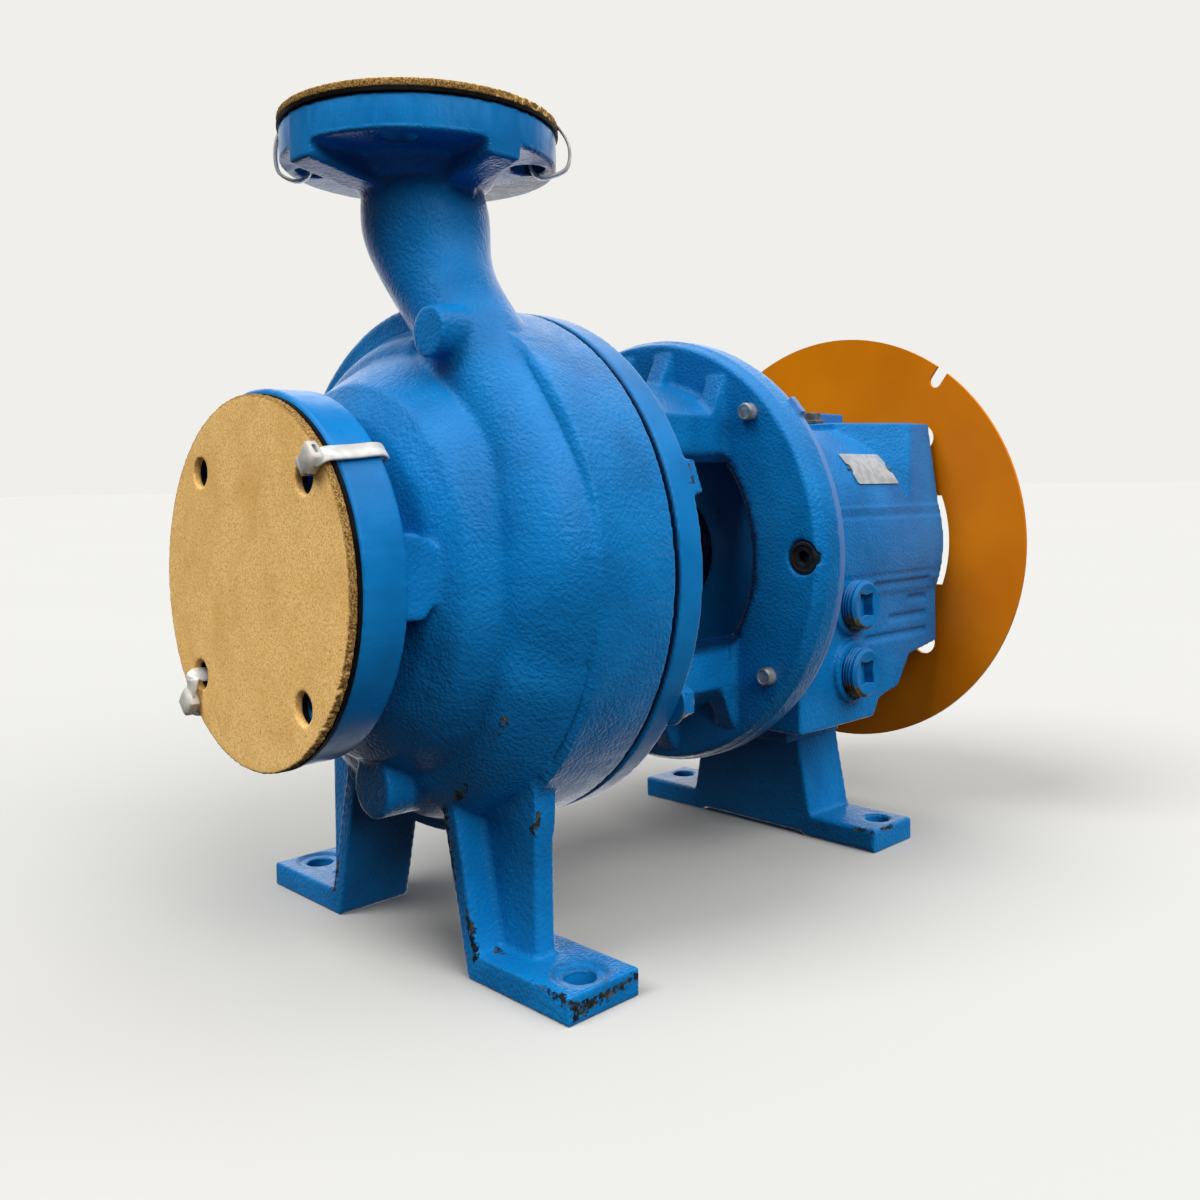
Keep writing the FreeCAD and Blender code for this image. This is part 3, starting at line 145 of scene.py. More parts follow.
def fibreboard(name):
    """Pressed fibreboard: short straw coloured fibres with darker flecks, and clouded where it got damp. The
    broken rim is brown and furry."""
    material, tree, inputs, place = new_material(name, Roughness=0.85)
    fibres = add(tree, "ShaderNodeTexNoise", {"Vector": place, "Scale": per_mm(0.9), "Detail": 3.0, "Roughness": 0.7})
    flecks = add(tree, "ShaderNodeTexNoise", {"Vector": place, "Scale": per_mm(2.0), "Detail": 2.0})
    clouds = add(tree, "ShaderNodeTexNoise", {"Vector": place, "Scale": per_mm(30), "Detail": 3.0, "Distortion": 0.6})
    torn = add(tree, "ShaderNodeAttribute", {"attribute_name": "torn"}, "Fac")
    shades = [(0.36, "D8A456"), (0.50, "FCC97A"), (0.64, "FFE09C")]
    face = add(tree, "ShaderNodeValToRGB", {0: fibres, "stops": shades})
    damp = add(tree, "ShaderNodeMapRange", {0: clouds, 1: 0.45, 2: 0.75, 4: 0.55})
    face = add(tree, "ShaderNodeMix", {"data_type": "RGBA", 0: damp, 6: face, 7: tint("DCA658")}, 2)
    speck = add(tree, "ShaderNodeMapRange", {0: flecks, 1: 0.62, 2: 0.72, 4: 0.5})
    face = add(tree, "ShaderNodeMix", {"data_type": "RGBA", 0: speck, 6: face, 7: tint("946A34")}, 2)
    shades = [(0.36, "4E3619"), (0.50, "94703C"), (0.64, "CBA25E")]
    rim = add(tree, "ShaderNodeValToRGB", {0: fibres, "stops": shades})
    tree.links.new(add(tree, "ShaderNodeMix", {"data_type": "RGBA", 0: torn, 6: face, 7: rim}, 2),
                   inputs["Base Color"])
    depth = add(tree, "ShaderNodeMapRange", {0: torn, 3: 0.10, 4: 0.9})
    height = add(tree, "ShaderNodeMath", {"operation": "MULTIPLY", 0: fibres, 1: depth})
    tree.links.new(add(tree, "ShaderNodeBump", {"Distance": MM, "Height": height}), inputs["Normal"])
    return material


def sheet_rubber(name):
    """Black sheet rubber with a cut edge: nearly black, dull, with a faint bloom."""
    material, tree, inputs, place = new_material(name, Specular_IOR_Level=0.25)
    bloom = add(tree, "ShaderNodeTexNoise", {"Vector": place, "Scale": per_mm(12), "Detail": 4.0})
    tree.links.new(add(tree, "ShaderNodeValToRGB", {0: bloom, "stops": [(0.4, "070708"), (0.7, "1A1A1B")]}),
                   inputs["Base Color"])
    tree.links.new(add(tree, "ShaderNodeMapRange", {0: bloom, 1: 0.3, 2: 0.7, 3: 0.5, 4: 0.72}), inputs["Roughness"])
    return material


def enamel_on_plate(name):
    """Orange enamel on smooth sheet steel: even colour, long shallow waves and fine peel."""
    material, tree, inputs, place = new_material(name, Specular_IOR_Level=0.3)
    peel = add(tree, "ShaderNodeTexNoise", {"Vector": place, "Scale": per_mm(1.8), "Detail": 2.0})
    waves = add(tree, "ShaderNodeTexNoise", {"Vector": place, "Scale": per_mm(70), "Detail": 3.0})
    tree.links.new(add(tree, "ShaderNodeValToRGB", {0: waves, "stops": [(0.35, "D27400"), (0.65, "DE7F00")]}),
                   inputs["Base Color"])
    tree.links.new(add(tree, "ShaderNodeMapRange", {0: waves, 1: 0.3, 2: 0.7, 3: 0.42, 4: 0.52}), inputs["Roughness"])
    height = add(tree, "ShaderNodeMath", {"operation": "MULTIPLY_ADD", 0: peel, 1: 0.06, 2: waves})
    tree.links.new(add(tree, "ShaderNodeBump", {"Distance": 0.5 * MM, "Height": height}), inputs["Normal"])
    return material


def worked_metal(name, dark, light, smooth, dull, line=0.7, metallic=0.6):
    """Metal as a lathe, a grinder or a plating bath leaves it: fine lines and tarnish in patches."""
    material, tree, inputs, place = new_material(name, Metallic=metallic)
    patches = add(tree, "ShaderNodeTexNoise", {"Vector": place, "Scale": per_mm(6), "Detail": 4.0})
    lines = add(tree, "ShaderNodeTexNoise", {"Vector": place, "Scale": per_mm(line), "Detail": 2.0})
    tree.links.new(add(tree, "ShaderNodeValToRGB", {0: patches, "stops": [(0.38, dark), (0.62, light)]}),
                   inputs["Base Color"])
    tree.links.new(add(tree, "ShaderNodeMapRange", {0: patches, 1: 0.3, 2: 0.7, 3: dull, 4: smooth}),
                   inputs["Roughness"])
    tree.links.new(add(tree, "ShaderNodeBump", {"Distance": 0.06 * MM, "Height": lines}), inputs["Normal"])
    return material


def oversprayed(name, dark, light):
    """Bare metal fitted before spraying: blue where the spray reached it from above, bare underneath."""
    material, tree, inputs, place = new_material(name)
    patches = add(tree, "ShaderNodeTexNoise", {"Vector": place, "Scale": per_mm(4), "Detail": 5.0})
    facing = add(tree, "ShaderNodeNewGeometry", {}, "Normal")
    upward = add(tree, "ShaderNodeSeparateXYZ", {0: facing}, 2)
    reach = add(tree, "ShaderNodeMath", {"operation": "MULTIPLY_ADD", 0: patches, 1: 0.8, 2: upward})
    spray = add(tree, "ShaderNodeMapRange", {0: reach, 1: 0.02, 2: 0.14})
    bare = add(tree, "ShaderNodeValToRGB", {0: patches, "stops": [(0.35, dark), (0.65, light)]})
    tree.links.new(add(tree, "ShaderNodeMix", {"data_type": "RGBA", 0: spray, 6: bare, 7: tint("0E6EAE")}, 2),
                   inputs["Base Color"])
    tree.links.new(add(tree, "ShaderNodeMapRange", {0: spray, 3: 0.5, 4: 0.0}), inputs["Metallic"])
    tree.links.new(add(tree, "ShaderNodeMapRange", {0: spray, 3: 0.45, 4: 0.3}), inputs["Roughness"])
    return material


def milky_nylon(name):
    """Natural nylon, moulded: milky, letting some light through, with a soft shine."""
    material, tree, inputs, place = new_material(
        name, Roughness=0.32, Subsurface_Weight=0.4, Subsurface_Scale=0.002, Transmission_Weight=0.3, IOR=1.53)
    cloud = add(tree, "ShaderNodeTexNoise", {"Vector": place, "Scale": per_mm(6), "Detail": 2.0})
    tree.links.new(add(tree, "ShaderNodeValToRGB", {0: cloud, "stops": [(0.35, "CDCABF"), (0.65, "E2E1DA")]}),
                   inputs["Base Color"])
    tree.links.new(add(tree, "ShaderNodeBump", {"Distance": 0.2 * MM, "Height": cloud}), inputs["Normal"])
    return material


def clear_glass(name):
    """The sight glass: clear, with the oil's brown behind its lower part and painted shade of the unlit sump above in
    its colour.
    """
    material, tree, inputs, place = new_material(name, Roughness=0.04, IOR=1.5, Coat_Weight=1.0)
    height = add(tree, "ShaderNodeSeparateXYZ", {0: place}, 2)
    level = add(tree, "ShaderNodeMapRange", {0: height, 1: 0.1695, 2: 0.1705})
    tree.links.new(add(tree, "ShaderNodeValToRGB", {0: level, "stops": [(0.0, "5A3A10"), (1.0, "1A1C1C")]}),
                   inputs["Base Color"])
    return material


def studio_paper(name):
    """Seamless pale studio paper."""
    material, tree, inputs, place = new_material(name, Roughness=0.95, Specular_IOR_Level=0.0)
    cloud = add(tree, "ShaderNodeTexNoise", {"Vector": place, "Scale": per_mm(900), "Detail": 2.0})
    tree.links.new(add(tree, "ShaderNodeValToRGB", {0: cloud, "stops": [(0.3, "C0BFBB"), (0.7, "C1C0BC")]}),
                   inputs["Base Color"])
    return material


casting_enamel = enamel_on_casting("gloss_enamel_on_cast_iron", 0.62)
fitting_enamel = enamel_on_casting("gloss_enamel_on_turned_iron", 0.2)
board = fibreboard("pressed_fibreboard")
rubber = sheet_rubber("black_sheet_rubber")
guard_enamel = enamel_on_plate("orange_enamel_on_sheet_steel")
zinc = worked_metal("zinc_plated_steel", "8E8C86", "C4C3BE", 0.28, 0.5)
steel = worked_metal("ground_steel", "85888B", "B2B5B7", 0.18, 0.36, 0.5)
dull_steel = worked_metal("dull_plug_steel", "5C5D5C", "8A8B88", 0.35, 0.6)
bronze = worked_metal("oxidised_bronze", "2E2013", "5E4020", 0.35, 0.6)
brass = worked_metal("turned_brass", "93733A", "C2A062", 0.28, 0.45)
black_iron = worked_metal("black_oxide_steel", "17191B", "2A2C2F", 0.32, 0.5, 0.7, 0.0)
aluminium = worked_metal("rolled_aluminium_plate", "B4BCBF", "D2D7D8", 0.38, 0.55, 1.2, 0.45)
# Painted shade: nearly black blue iron for parts seen only in shade, through the adapter's window and in its joint
painted_shade_iron = worked_metal("iron_darkened_as_painted_shade", "081222", "0E2340", 0.5, 0.7, 0.7, 0.0)
plug_finish = oversprayed("oversprayed_brown_thread", "5F4322", "BF9556")
bolt_finish = oversprayed("oversprayed_yellow_zinc", "8A7238", "C9AE6C")
nylon = milky_nylon("natural_nylon")
sight_pane = clear_glass("clear_sight_glass")
paper = studio_paper("studio_paper")


# Meshes in millimetres

def show(name, points, faces, material, slot=None, sharp=35):
    """Put a mesh in the scene as a piece that rides on the pump."""
    mesh = bpy.data.meshes.new(name)
    mesh.from_pydata([[value * MM for value in point] for point in points], [], faces)
    mesh.polygons.foreach_set("use_smooth", [True] * len(mesh.polygons))
    mesh.set_sharp_from_angle(angle=math.radians(sharp))
    mesh.materials.append(material)
    piece = bpy.data.objects.new(name, mesh)
    bpy.context.scene.collection.objects.link(piece)
    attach(piece, "root")
    return piece


def facing(origin, axis):
    """A placement whose own Z points along an axis."""
    return Matrix.Translation(Vector(origin)) @ Vector(axis).to_track_quat("Z", "Y").to_matrix().to_4x4()


def turned(rings, placement, sides=48):
    """A turned or broached form. Each ring is (height, radius) or (height, radius by angle)."""
    points, faces = [], []
    for height, radius in rings:
        for side in range(sides):
            angle = 2 * math.pi * side / sides
            reach = radius(angle) if callable(radius) else radius
            points.append(placement @ Vector((reach * math.cos(angle), reach * math.sin(angle), height)))
    for ring in range(len(rings) - 1):
        for side in range(sides):
            after = (side + 1) % sides
            low, high = ring * sides, (ring + 1) * sides
            faces.append((low + side, low + after, high + after, high + side))
    faces.append(tuple(reversed(range(sides))))
    faces.append(tuple(range(len(points) - sides, len(points))))
    return points, faces


def washer(placement, low, high, inner, outer):
    """A flat ring with eased outer edges."""
    ease = 0.3
    rings = [(low, inner), (low, outer - ease), (low + ease, outer), (high - ease, outer), (high, outer - ease),
             (high, inner)]
    points, faces = turned(rings + rings[:1], placement)
    return points, faces[:-2]


def hexagon(across):
    """The radius of a hexagon by angle, from its size across flats."""
    return lambda angle: 0.5 * across / math.cos((angle + math.pi / 6) % (math.pi / 3) - math.pi / 6)


def join(*shapes):
    """Several (points, faces) as one."""
    points, faces = [], []
    for shape_points, shape_faces in shapes:
        start = len(points)
        points += list(shape_points)
        faces += [tuple(index + start for index in face) for face in shape_faces]
    return points, faces


def polar(radius, degrees, y):
    """A point about the shaft axis."""
    angle = math.radians(degrees)
    return Vector((radius * math.cos(angle), y, SHAFT_Z + radius * math.sin(angle)))


# Castings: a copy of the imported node, remade as one skin, with the corners that a sand mould gives

def neighbour_mean(points, edges, count):
    """The mean place of each point's neighbours."""
    total = np.empty_like(points)
    for axis in range(3):
        total[:, axis] = (np.bincount(edges[:, 0], points[edges[:, 1], axis], len(points))
                          + np.bincount(edges[:, 1], points[edges[:, 0], axis], len(points)))
    return total / count[:, None]


def skin_normals(points, quads):
    """Unit normals of the points of a skin of quads."""
    across = np.cross(points[quads[:, 2]] - points[quads[:, 0]], points[quads[:, 3]] - points[quads[:, 1]])
    normals = np.zeros_like(points)
    for axis in range(3):
        for corner in range(4):
            normals[:, axis] += np.bincount(quads[:, corner], across[:, axis], len(points))
    return normals / np.maximum(np.linalg.norm(normals, axis=1), 1e-9)[:, None]


def fade(values, full, none):
    """1 up to full, 0 from none on, and smooth between."""
    share = np.clip((none - values) / (none - full), 0, 1)
    return share * share * (3 - 2 * share)


def flatten(points, normals, surfaces):
    """Lay the points near a worked face exactly on it, and tell which they are. A face is ("x", "y" or "z",
    place) or ("round", axis, centre, radius)."""
    worked = np.zeros(len(points))
    for kind, *sizes in surfaces:
        step = np.zeros_like(points)
        if kind == "round":
            others = [index for index in range(3) if index != "xyz".index(sizes[0])]
            spoke = points[:, others] - np.array(sizes[1])
            reach = np.linalg.norm(spoke, axis=1)
            outward = spoke / np.maximum(reach, 1e-6)[:, None]
            off = reach - sizes[2]
            agree = np.abs((normals[:, others] * outward).sum(1))
            step[:, others] = outward * off[:, None]
        else:
            axis = "xyz".index(kind)
            off = points[:, axis] - sizes[0]
            agree = np.abs(normals[:, axis])
            step[:, axis] = off
        share = fade(np.abs(off), 0.6, 1.3) * fade(1 - agree, 0.02, 0.08)
        points -= step * share[:, None]
        worked = np.maximum(worked, share)
    return worked


def nearness(points, paths):
    """1 at a path and 0 outside its width. Each path is (width, points)."""
    near = np.zeros(len(points))
    for width, path in paths:
        for start, end in zip(path, path[1:]):
            start, end = np.array(start, float), np.array(end, float)
            run = end - start
            share = np.clip(((points - start) @ run) / max(run @ run, 1e-9), 0, 1)
            near = np.maximum(near, fade(np.linalg.norm(points - (start + share[:, None] * run), axis=1), 0, width))
    return near


def circle(centre, radius, steps=24):
    """A level ring of points."""
    turns = [2 * math.pi * step / steps for step in range(steps + 1)]
    return [(centre[0] + radius * math.cos(turn), centre[1] + radius * math.sin(turn), centre[2]) for turn in turns]


def remade(node, cell):
    """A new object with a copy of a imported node's mesh, remade in small cells of one size."""
    pattern = bpy.data.objects.new(f"{node}_pattern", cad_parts[node].data.copy())
    bpy.context.scene.collection.objects.link(pattern)
    skin = pattern.modifiers.new("skin", "REMESH")
    skin.mode = "VOXEL"
    skin.voxel_size = cell * MM
    mesh = bpy.data.meshes.new_from_object(pattern.evaluated_get(bpy.context.evaluated_depsgraph_get()))
    pattern.modifiers.clear()
    pattern.data = mesh
    return pattern


def thinned(pattern, share):
    """The mesh of an object with a share of its triangles, kept where the form bends."""
    fewer = pattern.modifiers.new("fewer", "DECIMATE")
    fewer.ratio = min(1.0, share)
    mesh = bpy.data.meshes.new_from_object(pattern.evaluated_get(bpy.context.evaluated_depsgraph_get()))
    bpy.data.objects.remove(pattern)
    return mesh


def dressed(node, suffix, mesh, marks, material):
    """Show a remade mesh, with its marks for the material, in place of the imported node."""
    for mark, values in marks.items():
        mesh.attributes.new(mark, "FLOAT", "POINT").data.foreach_set("value", np.asarray(values, np.float32))
    mesh.polygons.foreach_set("use_smooth", [True] * len(mesh.polygons))
    mesh.materials.clear()
    mesh.materials.append(material)
    piece = bpy.data.objects.new(f"{node}_{suffix}", mesh)
    bpy.context.scene.collection.objects.link(piece)
    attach(piece, "root")
    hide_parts(node)
    print(f"{node}: {sum(len(face.vertices) - 2 for face in mesh.polygons)} triangles")


def point_array(mesh, kind="co"):
    """The places or the normals of the points of a mesh."""
    flat = np.empty(len(mesh.vertices) * 3)
    mesh.vertices.foreach_get(kind, flat)
    return flat.reshape(-1, 3)


def casting(node, cell, turned_faces, cast_faces, marks, shape=None, fill=None, rounds=6, ease=3, budget=150000):
    """A casting as the foundry leaves it: inside corners filled, outside corners eased, worked faces true. marks
    gives the places of wear and paint on its points, and budget is its number of triangles."""
    pattern = remade(node, cell)
    mesh = pattern.data
    points = point_array(mesh) / MM
    edges = np.empty(len(mesh.edges) * 2, np.int64)
    mesh.edges.foreach_get("vertices", edges)
    edges = edges.reshape(-1, 2)
    quads = np.empty(len(mesh.loops), np.int64)
    mesh.loops.foreach_get("vertex_index", quads)
    quads = quads.reshape(-1, 4)
    count = np.bincount(edges.ravel(), minlength=len(points)).astype(float)
    if shape:
        shape(points)
    for _ in range(ease):
        points += 0.6 * (neighbour_mean(points, edges, count) - points)
    # Sand fills inside corners: points move only outward, and only where the skin is hollow
    depth = fill(points) if fill else np.ones(len(points))
    for step in range(rounds):
        if step % 4 == 0:
            normals = skin_normals(points, quads)
        hollow = ((neighbour_mean(points, edges, count) - points) * normals).sum(1)
        points += (0.9 * depth * np.maximum(hollow - 0.02 * cell, 0))[:, None] * normals
    points += 0.5 * (neighbour_mean(points, edges, count) - points)
    flatten(points, skin_normals(points, quads), turned_faces + cast_faces)
    mesh.vertices.foreach_set("co", (points * MM).ravel())
    mesh = thinned(pattern, budget / (2 * len(quads)))
    points = point_array(mesh) / MM
    looks = {"worked": flatten(points.copy(), point_array(mesh, "normal"), turned_faces)}
    for name, values in marks(points).items():
        looks[name] = np.maximum(looks.get(name, 0), values)
    dressed(node, "casting", mesh, looks, casting_enamel)


def band(values, low, high, soft=0.6):
    """1 between two values and 0 outside them, with soft ends."""
    return fade(low - values, 0, soft) * fade(values - high, 0, soft)


def from_shaft(points):
    """The distance of points from the shaft axis."""
    return np.hypot(points[:, 0], points[:, 2] - SHAFT_Z)


def even_scroll(points):
    """Bring the lower right stretch of the scroll to one even swell, out to the ideal tube or the body behind it."""
    # The circle of the tube's centres, the tube's radius by angle below the horizontal, and the body's profile
    centre_line = 111.9
    tube_turns, tube_radii = (-77, -40, -10, -4), (29.3, 31.0, 33.0, 33.6)
    body_depths = (-76.6, -62.4, -57.4, -48.4, -28.4, -4.5, -4.4, 48.4)
    body_radii = (60, 60, 84, 100, 113, 125, RIM_RADIUS, RIM_RADIUS)
    leg_top, leg_lean, web_thick, rib_outer = 105.0, 25, 13.5, 98
    widest, march = 46.0, 0.5
    across = from_shaft(points) - centre_line
    turn = np.degrees(np.arctan2(points[:, 2] - SHAFT_Z, points[:, 0]))
    reach = np.hypot(across, points[:, 1])
    chosen = (turn > -77) & (turn < -4) & (reach < 75) & (points[:, 1] < 40)
    index = np.nonzero(chosen)[0]
    turn, reach, across, y = turn[index], reach[index], across[index], points[index, 1]
    tube = np.interp(turn, tube_turns, tube_radii)
    best = tube.copy()
    for step in np.arange(0.0, widest, march):
        trial = np.minimum(tube + step, reach)
        radius = centre_line + across * trial / reach
        depth = y * trial / reach
        x = radius * np.cos(np.radians(turn))
        z = SHAFT_Z + radius * np.sin(np.radians(turn))
        # The revolved body, the leg's web and rib, and the drain boss, each half a millimetre to one larger
        body = radius < 0.5 + np.interp(depth, body_depths, body_radii)
        inner = 61 - leg_lean * z / leg_top
        low = (z < leg_top + 1) & (x > inner)
        web = low & (x < inner + web_thick) & (depth > -23.6)
        rib = low & (x < rib_outer) & (depth > -6) & (depth < 9.3)
        boss = (np.hypot(x - 8, z - 93.5) < 18) & (depth > -45)
        best = np.where((reach > tube) & (body | web | rib | boss), trial, best)
    scale = 1 + (best / reach - 1) * fade(turn, -24, -5) * fade(-turn, 72, 77) * fade(y, 33, 40)
    radius = centre_line + across * scale
    points[index, 0] = radius * np.cos(np.radians(turn))
    points[index, 1] = y * scale
    points[index, 2] = SHAFT_Z + radius * np.sin(np.radians(turn))


def holes(axis, radius, circle_radius, centre, angles):
    """Drilled holes as worked round faces."""
    return [("round", axis, (centre[0] + circle_radius * math.cos(math.radians(angle)),
                             centre[1] + circle_radius * math.sin(math.radians(angle))), radius) for angle in angles]


SHAFT = (0, SHAFT_Z)
DIAGONALS, SIDES = (45, 135, 225, 315), (0, 180)
FLANGE_HOLE, FOOT_HOLE, SPOT_FACE = 9.525, 7.95, 14.5
CASING_FOOT_X, FRAME_FOOT_X, FRAME_FOOT_Y = 123.825, 92.075, 317.5


def make_casing():
    """The volute casing, with chips on its feet, its parting line and its near rib."""
    knocks = [
        (7, [(45, -22.6, 84), (54, -22.6, 50), (66, -22.6, 24), (70, -22.6, 12)]),
        (8, [(-63, -22.6, 34), (-70, -22.6, 14)]),
        (6, [(104, -28, 142), (79, -25, 114), (55, -24, 91)]),
        (7, [(97, -2, 87), (95, -5, 80)]),
        (6, [(118, -22.6, 14), (137, -22.6, 13)]),
        (5, [(140, -21, 12), (140, -18, 3)]),
        (5, [(140, 18, 13), (140, 25, 9)]),
        (5, [(72, -10, 14.2), (86, -14, 14.2)]),
    ]
    foot_rings = [(4.5, circle((side * 123.8, 0, 13.4), SPOT_FACE)) for side in (1, -1)]
    foot_rings += [(3.5, circle((123.8, 0, 12.7), 9))]

    def fill(points):
        """Sand fills the corners of the neck and its flange most, and leaves the feet sharp."""
        height = -points[:, 2]
        return (0.35 + 0.65 * fade(height, -340, -320)) * fade(height, -24, -15)

    def marks(points):
        """The turned rims, the knocks, the grime at the foot bolts, and painted shade in the joint behind the rim."""
        suction = band(points[:, 1], SUCTION_Y - 1, SUCTION_Y + 26) * fade(-from_shaft(points), -92, -90)
        upright = np.hypot(points[:, 0], points[:, 1])
        discharge = band(points[:, 2], DISCHARGE_Z - 16, DISCHARGE_Z + 1) * fade(-upright, -74, -72)
        return {"worked": np.maximum(suction, discharge), "worn": nearness(points, knocks),
                "grime": nearness(points, foot_rings), "thin": fade(-points[:, 1], -47.4, -46.8)}

    turned_faces = [
        ("y", SUCTION_Y), ("y", SUCTION_BACK), ("round", "y", SHAFT, SUCTION_RADIUS), ("z", DISCHARGE_Z),
        ("round", "z", (0, 0), DISCHARGE_RADIUS), ("z", 0.0), ("z", 12.7),
        *holes("y", FLANGE_HOLE, 76.2, SHAFT, DIAGONALS), *holes("z", FLANGE_HOLE, 60.325, (0, 0), DIAGONALS),
        *holes("z", FOOT_HOLE, CASING_FOOT_X, (0, 0), SIDES), *holes("z", SPOT_FACE, CASING_FOOT_X, (0, 0), SIDES),
    ]
    cast_faces = [
        ("z", 14.2), ("y", -22.6), ("y", 25.3), ("x", 97.0), ("x", -97.0), ("y", -5.0), ("y", 8.3), ("y", -44.0),
        ("y", 48.0), ("round", "y", SHAFT, RIM_RADIUS), ("z", DISCHARGE_Z - 19.0),
    ]
    casting("casing", 1.4, turned_faces, cast_faces, marks, shape=even_scroll, fill=fill, rounds=12, budget=190000)


def make_frame_adapter():
    """The open adapter, with nicks along the edge of its front ring."""
    nicks = [(5, 22, 18), (4, 6, 4), (4, -4, -5), (5, -24, -27)]
    nicks = [(width, [polar(RIM_RADIUS, start, 69), polar(RIM_RADIUS, end, 69)]) for width, start, end in nicks]

    def marks(points):
        """The turned ring, its nicks, and painted shade on the inside and in the joint."""
        away, y = from_shaft(points), points[:, 1]
        inside = fade(away, 94.5, 97) * fade(-y, -74, -68) * fade(y, 200, 204)
        return {"worked": band(y, 49, 71) * fade(-away, -143, -141), "worn": nearness(points, nicks),
                "thin": np.maximum(inside, fade(y, 51.2, 51.8))}

    turned_faces = [("y", 50.5), ("y", 69.3), ("round", "y", SHAFT, RIM_RADIUS), ("y", 202.0),
                    *holes("y", 10.2, 128.8, SHAFT, SIDES)]
    cast_faces = [("y", 180.0), ("round", "y", SHAFT, 142.0), ("round", "y", SHAFT, 112.0)]
    casting("frame_adapter", 1.4, turned_faces, cast_faces, marks)


def make_bearing_frame():
    """The bearing frame, whose flange has a paler rim."""
    def marks(points):
        """The turned flange and its pale rim."""
        away, y = from_shaft(points), points[:, 1]
        return {"worked": band(y, 201, 215) * fade(-away, -137, -135),
                "pale": band(y, 203, 213) * fade(-away, -139, -138)}

    turned_faces = [("y", 202.0), ("y", 214.0), ("round", "y", SHAFT, 140.0), ("y", 400.0), ("z", SHAFT_Z + 88.5)]
    cast_faces = [("x", 97.0), ("x", -97.0), ("z", SHAFT_Z + 82.0)]
    casting("bearing_frame", 1.2, turned_faces, cast_faces, marks, rounds=4, ease=1, budget=190000)


def make_frame_foot():
    """The foot under the bearing frame, knocked at its near corner."""
    knocks = [(5, [(92, 289, 15), (107, 289, 15)]), (5, [(108, 300, 15), (108, 312, 14)])]
    turned_faces = [("z", 0.0), ("z", 69.5), ("round", "z", (FRAME_FOOT_X, FRAME_FOOT_Y), FOOT_HOLE),
                    ("round", "z", (-FRAME_FOOT_X, FRAME_FOOT_Y), FOOT_HOLE)]
    cast_faces = [("z", 15.5), ("y", 289.0), ("y", 337.0), ("x", 108.0), ("x", -108.0)]
    casting("frame_foot", 1.3, turned_faces, cast_faces, lambda points: {"worn": nearness(points, knocks)},
            budget=60000)


# Shipping covers, cut from fibreboard, with a furry, split rim

def make_cover(node, centre, axis, radius, split_angle):
    """A cover disc. Its rim is ragged, and it has lost some of its edge along one stretch."""
    pattern = remade(node, 1.1)
    others = [index for index in range(3) if index != axis]
    for vertex in pattern.data.vertices:
        place = vertex.co / MM
        spoke = Vector((place[others[0]] - centre[0], place[others[1]] - centre[1]))
        edge = max(0.0, 1 - (radius - spoke.length) / 2.2)
        rough = noise.noise(place * 0.45) + 0.6 * noise.noise(place * 1.3)
        turn = abs((math.degrees(math.atan2(spoke.y, spoke.x)) - split_angle + 180) % 360 - 180)
        bite = (0.5 + 1.4 * max(0.0, 1 - turn / 38)) * max(0.0, 0.35 - rough) * edge
        place[others[0]] -= spoke.normalized().x * bite
        place[others[1]] -= spoke.normalized().y * bite
        vertex.co = place * MM
    mesh = thinned(pattern, 0.45)
    points = point_array(mesh) / MM
    reach = np.hypot(points[:, others[0]] - centre[0], points[:, others[1]] - centre[1])
    dressed(node, "board", mesh, {"torn": fade(-reach, -(radius - 0.5), -(radius - 1.3))}, board)


# Cable ties

def swept(rings, size):
    """The skin over rings of points of one size, with both ends closed."""
    points = [point for ring in rings for point in ring]
    faces = []
    for ring in range(len(rings) - 1):
        for corner in range(size):
            after = (corner + 1) % size
            low, high = ring * size, (ring + 1) * size
            faces.append((low + corner, low + after, high + after, high + corner))
    faces.append(tuple(reversed(range(size))))
    faces.append(tuple(range(len(points) - size, len(points))))
    return points, faces


def strap(path, side, width, thick, steps=6):
    """A flat strap with eased edges along a smooth line through its points. side is its width direction."""
    path = [Vector(point) for point in path]
    line = []
    for index in range(len(path) - 1):
        before, start = path[max(index - 1, 0)], path[index]
        end, after = path[index + 1], path[min(index + 2, len(path) - 1)]
        for step in range(steps):
            t = step / steps
            line.append(0.5 * (2 * start + (end - before) * t + (2 * before - 5 * start + 4 * end - after) * t ** 2
                               + (3 * start - before - 3 * end + after) * t ** 3))
    line.append(path[-1])
    half, depth, ease = 0.5 * width, 0.5 * thick, 0.3 * thick
    section = [(-half, -depth + ease), (-half + ease, -depth), (half - ease, -depth), (half, -depth + ease),
               (half, depth - ease), (half - ease, depth), (-half + ease, depth), (-half, depth - ease)]
    rings = []
    for index, place in enumerate(line):
        along = (line[min(index + 1, len(line) - 1)] - line[max(index - 1, 0)]).normalized()
        across = (side - side.dot(along) * along).normalized()
        over = across.cross(along)
        rings.append([place + u * across + v * over for u, v in section])
    return swept(rings, 8)


def tie_head(centre, along, side, size):
    """The lock of a cable tie: a block with eased corners and a window for its pawl."""
    along, side = along.normalized(), side.normalized()
    over = along.cross(side).normalized()
    length, width, height = size
    plan = ((-1, -0.7), (-0.7, -1), (0.7, -1), (1, -0.7), (1, 0.7), (0.7, 1), (-0.7, 1), (-1, 0.7))
    rings = []
    for place, wide, high in ((-0.5, 0.70, 0.62), (-0.42, 0.94, 0.92), (0.1, 1.0, 1.0), (0.42, 0.96, 0.94),
                              (0.5, 0.80, 0.74), (0.5, 0.45, 0.35), (0.1, 0.42, 0.30)):
        rings.append([centre + along * place * length + side * 0.5 * u * wide * width + over * 0.5 * v * high * height
                      for u, v in plan])
    return swept(rings, 8)


